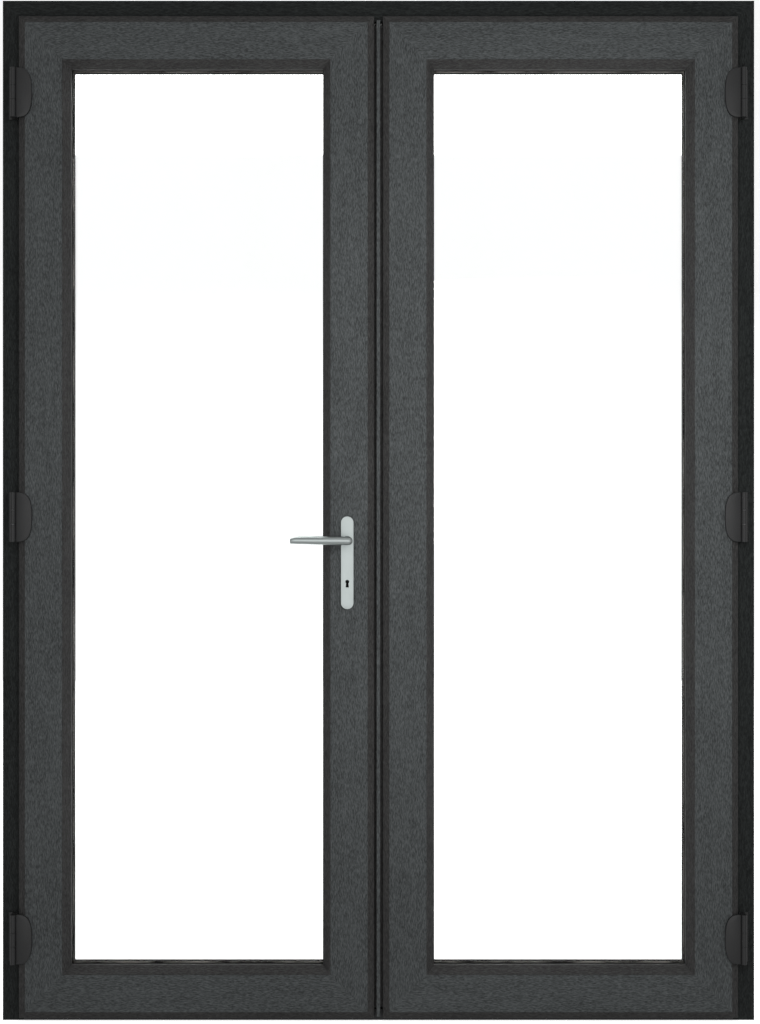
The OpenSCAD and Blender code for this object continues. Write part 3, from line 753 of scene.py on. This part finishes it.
    def finish(
        self, body: str, materials: Sequence[bpy.types.Material],
        replaces: Sequence[str] = (), pick: Callable[[Vector, Vector], int] | None = None,
        crease: float = 32.0,
    ) -> bpy.types.Object:
        """Turns the mesh into an object that rides on a CAD body.

        Args:
            body: The CAD body.
            materials: The object's materials.
            replaces: CAD nodes that this piece stands for.
            pick: Gives a face's material from its centre and normal.
            crease: Angle in degrees above which an edge is sharp.

        Returns:
            The object.
        """
        bm = self.bm
        bmesh.ops.recalc_face_normals(bm, faces=bm.faces[:])
        if bm.calc_volume(signed=True) < 0:
            bmesh.ops.reverse_faces(bm, faces=bm.faces[:])
        bm.normal_update()
        loose = sum(1 for e in bm.edges if len(e.link_faces) != 2)
        if loose:
            LOG.warning("%s: %d open edges", self.name, loose)
        if pick is not None:
            for f in bm.faces:
                f.material_index = pick(f.calc_center_median(), f.normal)
        for f in bm.faces:
            f.smooth = True
        bmesh.ops.triangulate(bm, faces=[f for f in bm.faces if len(f.verts) > 4])
        mesh = bpy.data.meshes.new(self.name)
        bm.to_mesh(mesh)
        bm.free()
        mesh.set_sharp_from_angle(angle=math.radians(crease))
        for m in materials:
            mesh.materials.append(m)
        obj = bpy.data.objects.new(self.name, mesh)
        bpy.context.scene.collection.objects.link(obj)
        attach(obj, body)
        if replaces:
            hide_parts(*replaces)
        LOG.info("%s: %d faces on %s", self.name, len(mesh.polygons), body)
        return obj


class Side(Enum):
    """One side of a rectangular frame of bars."""

    BOTTOM = "bottom"
    RIGHT = "right"
    TOP = "top"
    LEFT = "left"

    @property
    def grain(self) -> Grain:
        """The way a bar on this side runs."""
        return Grain.UP if self in (Side.LEFT, Side.RIGHT) else Grain.ACROSS


@dataclass(frozen=True)
class Rect:
    """The rectangle that a ring of bars follows.

    Args:
        x: Left edge in metres.
        z: Lower edge.
        w: Width.
        h: Height.
        flip: -1 mirrors it in X.
    """

    x: float
    z: float
    w: float
    h: float
    flip: int = 1

    def place(self, side: Side, along: float, y: float, u: float) -> Point3:
        """Turns a bar's own coordinates into the CAD frame.

        Args:
            side: The bar's side.
            along: Distance along the bar.
            y: Depth.
            u: Distance in from the outer edge.

        Returns:
            The point.
        """
        x, z = {
            Side.BOTTOM: (along, u),
            Side.RIGHT: (self.w - u, along),
            Side.TOP: (self.w - along, self.h - u),
            Side.LEFT: (u, self.h - along),
        }[side]
        return (self.flip * (self.x + x), y, self.z + z)

    def bar(
        self, piece: Piece, side: Side, section: Sequence[Point2],
        mitre: Point2 = (1.0, 1.0), trim: Point2 = (0.0, 0.0),
    ) -> None:
        """Adds a mitred bar.

        Args:
            piece: The mesh to add to.
            side: Its side.
            section: Outline as (depth, distance in), in metres.
            mitre: How far each end leans in per unit of distance in.
            trim: How far each end is cut back.
        """
        length = self.h if side.grain is Grain.UP else self.w
        first = [self.place(side, trim[0] + mitre[0] * u, y, u) for y, u in section]
        last = [
            self.place(side, length - trim[1] - mitre[1] * u, y, u) for y, u in section
        ]
        piece.loft([first, last])


def mm(points: Iterable[Point2]) -> list[Point2]:
    """Turns millimetres into metres.

    Args:
        points: The points.

    Returns:
        The same points in metres.
    """
    return [(a * MM, b * MM) for a, b in points]


@dataclass
class OuterFrame:
    """Jambs, head and the plain pieces under and round them.

    Args:
        palette: The finishes.
        width: Overall width.
        height: Overall height.
    """

    palette: Palette
    width: float = 1.6
    height: float = 2.17
    front: float = -35.0
    back: float = 35.0
    body: float = 45.0
    reach: float = 65.0
    stop: float = 18.0
    bolt: Point2 = (-0.0084, -0.010)
    bolt_radius: float = 0.006
    bolt_depth: float = 0.010
    fixings: tuple[float, ...] = (0.2, 0.735, 1.27, 1.805)
    fixing_radius: float = 0.0055
    notch: float = 0.0252

    def section(self) -> list[Point2]:
        """The bars' outline in metres.

        Returns:
            The outline.
        """
        corners = [
            (self.front, 0), (self.back, 0), (self.back, self.reach),
            (self.stop, self.reach), (self.stop, self.body), (self.front, self.body),
        ]
        return mm(rounded(corners, [1.2, 1.2, 2.2, 1.5, 0.8, 1.4]))

    def build(self) -> None:
        """Builds the three bars."""
        rect = Rect(-self.width / 2, 0.0, self.width, self.height)
        bars = {
            Side.LEFT: ("frame_jamb_left", (1.0, 0.0)),
            Side.RIGHT: ("frame_jamb_right", (0.0, 1.0)),
            Side.TOP: ("frame_head", (1.0, 1.0)),
        }
        for side, (node, mitre) in bars.items():
            piece = Piece(f"look_{node}")
            if side is Side.TOP:
                rect.bar(piece, side, self.section(), mitre)
                under = self.height - self.body * MM
                mouth = Axis.Z.ring(under, *self.bolt, self.bolt_radius)
                piece.bore([mouth], (0.0, 0.0, self.bolt_depth))
            else:
                self._jamb(piece, rect, side, mitre)
                out = math.copysign(self.width / 2, 1 if side is Side.RIGHT else -1)
                holes = [Axis.X.ring(out, 0.0, z, self.fixing_radius) for z in self.fixings]
                piece.bore(holes, (-math.copysign(self.body * MM, out), 0.0, 0.0), True)
            piece.finish(
                "frame", self.palette.foil(side.grain, "frame_foil"), [node]
            )

    def _jamb(self, piece: Piece, rect: Rect, side: Side, mitre: Point2) -> None:
        """Builds a jamb whose stop is notched over the threshold.

        Args:
            piece: The mesh.
            rect: The frame's rectangle.
            side: Left or right.
            mitre: The ends' lean.
        """
        low = mm(
            rounded(
                [(self.front, 0), (self.back, 0), (self.back, self.body),
                 (self.front, self.body)],
                [1.2, 1.2, 0.8, 1.4],
            )
        )
        trim = (0.0, self.notch) if side is Side.LEFT else (self.notch, 0.0)
        rect.bar(piece, side, self.section(), mitre, trim)
        foot = Rect(rect.x, 0.0, rect.w, self.notch)
        foot.bar(piece, side, low, (0.0, 0.0))


@dataclass
class Leaf:
    """The bars, beads and rain bar of one leaf.

    Args:
        palette: The finishes.
        name: "left" or "right".
        flip: 1 for the left leaf, -1 for its mirror image.
    """

    palette: Palette
    name: str
    flip: int
    edge: float = -0.7625
    low: float = 0.0085
    width: float = 0.7535
    height: float = 2.124
    front: float = -55.0
    flange: float = -38.0
    back: float = 15.0
    leg: float = 5.0
    overlap: float = 21.0
    face: float = 93.0
    sight: float = 109.0
    bevel: Point2 = (14.0, 5.0)
    drip_inset: float = 0.045

    @property
    def body(self) -> str:
        """The CAD body this leaf rides on."""
        return f"{self.name}_leaf"

    @property
    def rect(self) -> Rect:
        """The leaf's outline."""
        return Rect(self.edge, self.low, self.width, self.height, self.flip)

    def section(self) -> list[Point2]:
        """The leaf bar's outline with its hardware groove.

        Returns:
            The outline in metres.
        """
        groove = [(-11.75, 21), (-11.75, 24), (-14, 24), (-14, 36), (-26, 36),
                  (-26, 24), (-28.25, 24), (-28.25, 21)]
        corners = [
            (self.flange, 0), (self.front + self.bevel[1], 0),
            (self.front, self.bevel[0]), (self.front, self.face), (self.leg, self.face),
            (self.leg, self.sight), (self.back, self.sight), (self.back, self.overlap),
            *groove, (self.flange, self.overlap),
        ]
        radii = [0.6, 1.8, 2.5, 0.4, 0, 1.5, 4.0, 1.2, *[0.0] * 8, 0.4]
        return mm(rounded(corners, radii))

    def bead_section(self) -> list[Point2]:
        """The glazing bead's outline.

        Returns:
            The outline in metres.
        """
        corners = [
            (self.front + 1.0, self.face), (-25, self.face), (-25, self.sight),
            (-36, self.sight), (self.front + 1.0, self.face + 1.4),
        ]
        return mm(rounded(corners, [0, 0, 0.4, 1.6, 0.7]))

    def build(self) -> None:
        """Builds the four bars, the beads and the rain bar."""
        hinge, meeting = Side.LEFT, Side.RIGHT
        lock = "lock" if self.name == "left" else "meeting"
        nodes = {
            hinge: f"{self.name}_hinge_stile", meeting: f"{self.name}_{lock}_stile",
            Side.TOP: f"{self.name}_top_rail", Side.BOTTOM: f"{self.name}_bottom_rail",
        }
        # Bevels, side faces and the weather leg get darker foils as painted shade.
        for side, node in nodes.items():
            piece = Piece(f"look_{node}")
            self.rect.bar(piece, side, self.section())
            piece.finish(
                self.body,
                self.palette.foil(side.grain, "leaf_foil", "bevel_shade_foil", "leg_shadow_foil"),
                [node], self._shade_pick,
            )
        for side in Side:
            piece = Piece(f"look_{self.name}_bead_{side.value}")
            self.rect.bar(piece, side, self.bead_section())
            replaced = [f"{self.name}_glazing_beads"] if side is Side.BOTTOM else []
            piece.finish(
                self.body, self.palette.foil(side.grain, "bead_foil"), replaced
            )
        self._drip_bar()

    def _shade_pick(self, centre: Vector, normal: Vector) -> int:
        """Material number of a leaf bar's face, with darker foils as painted shade.

        Args:
            centre: The face's centre.
            normal: Its normal.

        Returns:
            1 (the painted shade foil) on the outer bevel and the edges, 2 (the painted shadow
            foil) round the glass outside, else 0.
        """
        inner = self.low + 0.08 < centre.z < self.low + self.height - 0.08
        inner = inner and abs(abs(centre.x) + self.edge + self.width / 2) < 0.29
        if inner and centre.y > 0.0045 and abs(normal.y) < 0.9:
            return 2
        tilted = normal.y < -0.2 and abs(normal.y) < 0.985
        edge = abs(normal.y) < 0.2 and centre.y < self.flange * MM
        return 1 if tilted or edge else 0

    def _drip_bar(self) -> None:
        """Builds the bar that sheds rain on the weather side."""
        corners = [
            (15, 59), (18, 59), (39, 33), (39, 23), (36, 23), (36, 31), (15, 31),
        ]
        section = mm(rounded(corners, [0.6, 1.0, 2.0, 0.8, 0.8, 0.8, 0]))
        piece = Piece(f"look_{self.name}_drip_bar")
        self.rect.bar(piece, Side.BOTTOM, section, (0.0, 0.0), (self.drip_inset,) * 2)
        slot = "dark_plastic"
        node = f"{self.name}_drip_bar"
        piece.finish(self.body, [self.palette.plain[slot]], [node])


@dataclass
class Mullion:
    """The closing mullion with its rib, on the passive leaf.

    Args:
        palette: The finishes.
    """

    palette: Palette
    rib: tuple[Point2, Point2] = ((-4.5, -53.0), (4.0, -38.0))
    rib_z: Point2 = (12.5, 2123.0)
    body_z: Point2 = (29.5, 2111.5)
    cover_z: Point2 = (31.5, 2101.0)
    side: float = -0.0183
    mouths: tuple[tuple[float, float, float, float], ...] = (
        (-0.027, -0.013, 0.911, 0.947),
        (-0.014, -0.006, 0.1675, 0.2115),
        (-0.014, -0.006, 1.9295, 1.9735),
    )
    mouth_depth: float = 0.008

    def build(self) -> None:
        """Builds the body, rib and weather cover."""
        up = self.palette.foil(Grain.UP, "leaf_foil", "bevel_shade_foil")
        body = mm(
            rounded(
                [(-18.3, -35), (-4.5, -35), (-4.5, -38), (30, -38), (30, 15), (-18.3, 15)],
                [1.2, 0, 0, 0, 0, 1.2],
            )
        )
        (x0, y0), (x1, y1) = self.rib
        rib = mm(rounded([(x0, y0), (x1, y0), (x1, y1), (x0, y1)], [1.4, 1.4, 0, 0]))
        piece = Piece("look_mullion")
        for outline, (low, high) in ((body, self.body_z), (rib, self.rib_z)):
            piece.loft(
                [[(x, y, z * MM) for x, y in outline] for z in (low, high)]
            )
        piece.bore(
            [
                [(self.side, y0, z0), (self.side, y1, z0), (self.side, y1, z1),
                 (self.side, y0, z1)]
                for y0, y1, z0, z1 in self.mouths
            ],
            (self.mouth_depth, 0.0, 0.0),
        )
        # Every face but the room-side front gets the painted shade foil.
        piece.finish(
            "right_leaf", up, ["mullion"],
            lambda c, n: 0 if n.y < -0.9 and c.y < -0.05 else 1,
        )
        cover = mm(
            rounded(
                [(-38, 18), (-12.3, 18), (-12.3, 15), (38, 15), (38, 24), (32, 30),
                 (-32, 30), (-38, 24)],
                [0.6, 0, 0, 0.6, 2.5, 4.0, 4.0, 2.5],
            )
        )
        piece = Piece("look_mullion_cover")
        piece.loft([[(x, y, z * MM) for x, y in cover] for z in self.cover_z])
        piece.finish("right_leaf", up[:1], ["mullion_cover"])


@dataclass
class Hinges:
    """Three hinges on one side: fixed knuckles, moving flaps and covers.

    Args:
        palette: The finishes.
        name: "left" or "right".
        sign: -1 for the left side.
    """

    palette: Palette
    name: str
    sign: int
    axis: Point2 = (0.7725, -0.061)
    heights: tuple[float, float, float] = (0.1775, 1.0705, 1.9685)
    half: float = 0.0525
    radius: float = 0.006
    knuckle: float = 0.0147
    cover_y: Point2 = (-0.0614, -0.055)
    cover_x: Point2 = (0.0063, 0.0333)
    cover_power: Point2 = (2 / 3.2, 2 / 2.7)
    cover_steps: int = 24

    def _x(self, offset: float) -> float:
        """X of a point that far in from the hinge axis.

        Args:
            offset: Distance towards the middle of the doors.

        Returns:
            The X value.
        """
        return self.sign * (self.axis[0] - offset)

    def _barrel(self, piece: Piece, low: float, high: float) -> None:
        """Adds one knuckle with chamfered ends.

        Args:
            piece: The mesh.
            low: Lower end.
            high: Upper end.
        """
        r, c = self.radius, 0.00022
        profile = [(0.0, low), (r - c, low), (r, low + c), (r, high - c), (r - c, high),
                   (0.0, high)]
        piece.spin(profile, self._x(0.0), self.axis[1])

    def _block(self, piece: Piece, x: Point2, y: Point2, z: Point2, soft: float) -> None:
        """Adds a softened box given from the hinge axis inwards.

        Args:
            piece: The mesh.
            x: Offsets from the axis.
            y: Depths.
            z: Heights.
            soft: Edge radius.
        """
        xs = sorted((self._x(x[0]), self._x(x[1])))
        piece.box((xs[0], y[0], z[0]), (xs[1], y[1], z[1]), soft)

    def build(self) -> None:
        """Builds the three hinges as one fixed, one moving and one cover piece."""
        fixed = Piece(f"look_{self.name}_hinge_knuckles")
        moving = Piece(f"look_{self.name}_hinge_flaps")
        covers = Piece(f"look_{self.name}_hinge_covers")
        y = self.axis[1]
        for z in self.heights:
            for s in (-1, 1):
                ends = sorted((z + s * (self.knuckle + 0.0005), z + s * self.half))
                self._barrel(fixed, *ends)
                self._block(fixed, (-0.0058, 0.0033), (y, -0.0355), tuple(ends), 0.0008)
            self._block(
                fixed, (-0.014, 0.0045), (-0.038, -0.035), (z - self.half, z + self.half),
                0.0008,
            )
            self._barrel(moving, z - self.knuckle, z + self.knuckle)
            self._block(
                moving, (0.002, 0.013), (-0.0584, -0.055),
                (z - self.knuckle, z + self.knuckle), 0.0006,
            )
            self._cover(covers, z)
        covers.soften(covers.rim(lambda p: p.y < self.cover_y[0] + TOUCH), 0.0017, 2)
        hinge = [self.palette.plain["hinge_plastic"]]
        fixed_nodes = ["hinge_frame_knuckles"] if self.sign < 0 else []
        fixed.finish("frame", hinge, fixed_nodes)
        leaf = f"{self.name}_leaf"
        moving.finish(leaf, hinge, [f"{self.name}_hinge_flaps"])
        covers.finish(leaf, hinge, [f"{self.name}_hinge_covers"])

    def _cover(self, piece: Piece, z: float) -> None:
        """Adds the D-shaped cover.

        Args:
            piece: The mesh.
            z: The hinge's middle height.
        """
        x0, reach = self.cover_x
        p, q = self.cover_power
        upper = []
        for k in range(self.cover_steps + 1):
            a = math.pi / 2 * k / self.cover_steps
            upper.append((x0 + reach * math.sin(a) ** p, self.half * math.cos(a) ** q))
        outline = upper + [(x, -b) for x, b in reversed(upper[:-1])]
        y_front, y_back = self.cover_y
        piece.loft(
            [[(self._x(a), yy, z + b) for a, b in outline] for yy in (y_back, y_front)]
        )


@dataclass
class Handle:
    """Backplate, a black sheet behind the keyhole painted as its shade, and lever on one side
    of the active leaf.

    Args:
        palette: The finishes.
        name: "inner" or "outer".
        face: Y of the leaf's face.
        out: -1 where the handle stands towards the room, 1 outwards.
        key_clear: Half width and height round the keyhole that stay sharp.
        keyhole_shade: The painted-shade sheet's half width, and its reach below and above the
            keyhole.
    """

    palette: Palette
    name: str
    face: float
    out: int
    x: float = -0.066
    lever_z: float = 1.021
    key_z: float = 0.929
    plate: tuple[float, float, float] = (0.0264, 0.1958, 0.008)
    plate_mid: float = 0.974
    plate_round: float = 0.0014
    key_clear: Point2 = (0.007, 0.014)
    keyhole_shade: Point3 = (0.0052, 0.011, 0.006)
    neck: float = 0.010
    gap: float = 0.034
    thick: float = 0.015

    def _y(self, off: float) -> float:
        """Y that far off the leaf's face.

        Args:
            off: Distance from the face.

        Returns:
            The Y value.
        """
        return self.face + self.out * off

    def _keyhole(self, y: float) -> list[Point3]:
        """The keyhole's outline.

        Args:
            y: Its depth.

        Returns:
            The loop.
        """
        r, half, foot, low = 0.0041, 0.0026, 0.0034, -0.0070
        head = self.key_z + 0.005
        start = math.asin(half / r)
        loop = []
        for k in range(25):
            a = -math.pi / 2 + start + (math.tau - 2 * start) * k / 24
            loop.append((self.x + r * math.cos(a), y, head + r * math.sin(a)))
        loop += [(self.x - foot, y, self.key_z + low), (self.x + foot, y, self.key_z + low)]
        return loop

    def build(self) -> None:
        """Builds the plate, the black sheet painted as the keyhole's shade, and the lever."""
        width, length, thick = self.plate
        outer = [
            (self.x + a, self._y(0.0), self.plate_mid + b)
            for a, b in stadium(width, length)
        ]
        plate = Piece(f"look_handle_plate_{self.name}")
        plate.holed([outer, self._keyhole(self._y(0.0))], (0, self.out * thick, 0))
        top = self._y(thick)
        dx, dz = self.key_clear
        rim = plate.rim(
            lambda p: abs(p.y - top) < TOUCH
            and (abs(p.x - self.x) > dx or abs(p.z - self.key_z) > dz)
        )
        plate.soften(rim, self.plate_round, 4)
        plate.finish(
            "left_leaf", [self.palette.plain["satin_aluminium"]],
            [f"handle_plate_{self.name}"],
        )
        # Painted shade: a near-black sheet behind the keyhole stands in for the dark inside of
        # the hole.
        keyhole_shade = Piece(f"look_keyhole_{self.name}")
        low, high = sorted((self._y(0.0001), self._y(0.0012)))
        left, right = self.x - self.keyhole_shade[0], self.x + self.keyhole_shade[0]
        foot, head = self.key_z - self.keyhole_shade[1], self.key_z + self.keyhole_shade[2]
        keyhole_shade.box((left, low, foot), (right, high, head), 0.0002)
        keyhole_shade.finish("left_leaf", [self.palette.plain["keyhole_void"]])
        self._lever()

    def _lever(self) -> None:
        """Builds the neck and the tapering grip."""
        piece = Piece(f"look_lever_{self.name}")
        plate_out, grip = self.plate[2], self.plate[2] + self.gap
        r = self.neck
        near, far = self._y(plate_out - 0.003), self._y(grip + self.thick * 0.5)
        profile = [
            (0.0, near), (r - 0.0004, near), (r - 0.0004, self._y(plate_out)),
            (r - 0.0004, self._y(plate_out + 0.003)), (r - 0.0016, self._y(plate_out + 0.006)),
            (r - 0.0016, self._y(grip)), (r - 0.0016, far), (0.0, far),
        ]
        piece.spin(profile, self.x, self.lever_z, 40, Axis.Y)
        centre = self._y(grip + self.thick / 2)
        ends = [(0.0118 - 0.0086 * (1 - math.cos(a)), 0.0087 * math.sin(a))
                for a in (0.22, 0.5, 0.8, 1.1, 1.35, math.pi / 2)]
        stations = [(dx, 0.0, half, (half / 0.0087) ** 0.6) for dx, half in ends]
        stations += [
            (-0.0200, 0.0001, 0.0088, 1.0), (-0.0500, 0.0002, 0.0085, 1.0),
            (-0.0800, 0.0004, 0.0080, 0.97), (-0.1040, 0.0006, 0.0075, 0.92),
            (-0.1118, 0.0006, 0.0073, 0.90), (-0.1124, 0.0000, 0.0066, 0.80),
            (-0.1160, -0.0003, 0.0063, 0.76), (-0.1180, -0.0005, 0.0054, 0.66),
            (-0.1190, -0.0006, 0.0034, 0.42),
        ]
        rings = []
        for dx, dz, half, deep in stations:
            ring = []
            for k in range(28):
                a = math.tau * k / 28
                c, s = math.cos(a), math.sin(a)
                px, pz = c * self.thick / 2 * deep, s * half
                ring.append((self.x + dx, centre + px, self.lever_z + dz + pz))
            rings.append(ring)
        piece.loft(rings)
        piece.finish(
            "lever", [self.palette.plain["satin_aluminium"]],
            [f"lever_{self.name}"], crease=40.0,
        )


@dataclass
class Hardware:
    """Screw heads on the faceplate, and the finishes of hidden parts.

    Args:
        palette: The finishes.
    """

    palette: Palette
    edge: float = -0.030
    groove_y: float = -0.020
    screws: tuple[float, ...] = (0.17, 0.45, 0.68, 0.86, 1.10, 1.45, 1.70, 1.98)

    def build(self) -> None:
        """Adds the screws and paints every CAD node."""
        piece = Piece("look_faceplate_screws")
        profile = [
            (0.0, -0.0002), (0.0016, -0.0002), (0.0018, 0.0005), (0.0030, 0.0005),
            (0.0034, 0.0003), (0.0035, -0.0003), (0.0, -0.0003),
        ]
        for z in self.screws:
            piece.spin([(r, self.edge + t) for r, t in profile], self.groove_y, z, 20, Axis.X)
        piece.finish("left_leaf", [self.palette.plain["bright_steel"]])
        slots = {p["node"]: p["material_slot"] for p in frame["record"]["subparts"]}
        for node, obj in frame["nodes"].items():
            slot = slots[node]
            foil = self.palette.foils.get((slot, Grain.UP))
            material = foil or self.palette.plain[slot]
            obj.data.materials.clear()
            obj.data.materials.append(material)


@dataclass(frozen=True)
class Lamp:
    """A square soft light.

    Args:
        name: Its name.
        at: Its place.
        aim: The point it faces.
        size: Side length.
        power: Watts.
        mirrored: Whether shiny surfaces show it.
    """

    name: str
    at: Point3
    aim: Point3
    size: float
    power: float
    mirrored: bool = True

    def build(self) -> None:
        """Adds the light."""
        data = bpy.data.lights.new(self.name, "AREA")
        data.shape, data.size, data.energy = "SQUARE", self.size, self.power
        obj = bpy.data.objects.new(self.name, data)
        obj.location = self.at
        turn = (Vector(self.aim) - Vector(self.at)).to_track_quat("-Z", "Y")
        obj.rotation_euler = turn.to_euler()
        bpy.context.scene.collection.objects.link(obj)
        obj.visible_camera = False
        obj.visible_glossy = self.mirrored


@dataclass
class Studio:
    """Floor, soft light and the camera.

    Args:
        distance: Camera distance from the frame's face.
        lens: Focal length in millimetres.
        centre: X and Z of the point the camera looks at.
        face: Y of the frame's room side.
        sky: Strength of the light from all round.
        lamps: The soft lights.
    """

    distance: float = 3.5
    lens: float = 57.8
    centre: Point2 = (0.0032, 1.0813)
    face: float = -0.035
    sky: float = 0.46
    lamps: tuple[Lamp, ...] = (
        Lamp("key", (0.40, -1.45, 1.38), (0.15, 0.0, 1.22), 0.8, 16.2, False),
        Lamp("front", (0.0, -5.2, 1.3), (0.0, 0.0, 1.1), 4.0, 48.0),
        Lamp("back", (0.0, 4.0, 4.0), (0.0, 2.0, 0.0), 4.0, 200.0),
    )

    def _sheet(self, name: str, corners: Sequence[Point3], glow: float,
               bounce: bool = True) -> None:
        """Builds a flat staged surface.

        Args:
            name: Its name.
            corners: Its four corners.
            glow: Strength of its own light.
            bounce: Whether it lights what stands near it.
        """
        bm = bmesh.new()
        bm.faces.new([bm.verts.new(c) for c in corners])
        bmesh.ops.subdivide_edges(bm, edges=bm.edges[:], cuts=3, use_grid_fill=True)
        mesh = bpy.data.meshes.new(name)
        bm.to_mesh(mesh)
        bm.free()
        sheet = bpy.data.objects.new(name, mesh)
        bpy.context.scene.collection.objects.link(sheet)
        sheet.visible_diffuse = bounce
        sheet.visible_glossy = False
        s = Shader(name)
        tone = s.noise((1.2, 1.2, 1.2), 2.0, 0.5)
        s.set(
            Base_Color=tone.blend((0.93, 0.93, 0.93), (0.95, 0.95, 0.95)),
            Roughness=0.9, Emission_Strength=glow, Emission_Color=(1.0, 1.0, 1.0, 1.0),
        )
        mesh.materials.append(s.material)

    def build(self) -> None:
        """Builds floor, world, lights and camera."""
        self._sheet(
            "floor", [(-14, -14, 0), (14, -14, 0), (14, 14, 0), (-14, 14, 0)], 0.8, False
        )
        self._sheet(
            "backdrop", [(-12, 7, 0), (12, 7, 0), (12, 7, 9), (-12, 7, 9)], 0.50
        )
        world = bpy.data.worlds.new("soft")
        world.use_nodes = True
        sky = world.node_tree.nodes["Background"].inputs
        sky["Color"].default_value = (1, 1, 1, 1)
        sky["Strength"].default_value = self.sky
        bpy.context.scene.world = world
        for lamp in self.lamps:
            lamp.build()
        bpy.context.scene.view_settings.view_transform = "Standard"
        data = bpy.data.cameras.new("camera")
        data.lens, data.sensor_width, data.sensor_fit = self.lens, 36.0, "AUTO"
        data.clip_end = 60.0
        camera = bpy.data.objects.new("camera", data)
        camera.location = (self.centre[0], self.face - self.distance, self.centre[1])
        camera.rotation_euler = (math.pi / 2, 0.0, 0.0)
        bpy.context.scene.collection.objects.link(camera)
        bpy.context.scene.camera = camera
        LOG.info("studio ready, camera %.2f m off", self.distance)


def save_sizes() -> None:
    """Updates the view layer.
    """
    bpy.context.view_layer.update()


def main() -> None:
    """Builds the whole scene in order."""
    logging.basicConfig(level=logging.INFO, format="%(name)s: %(message)s")
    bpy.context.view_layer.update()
    palette = Palette()
    Hardware(palette).build()
    OuterFrame(palette).build()
    for name, flip in (("left", 1), ("right", -1)):
        Leaf(palette, name, flip).build()
        Hinges(palette, name, -flip).build()
    Mullion(palette).build()
    Handle(palette, "inner", -0.055, -1).build()
    Handle(palette, "outer", 0.015, 1).build()
    Studio().build()
    save_sizes()


if __name__ == "__main__":
    main()
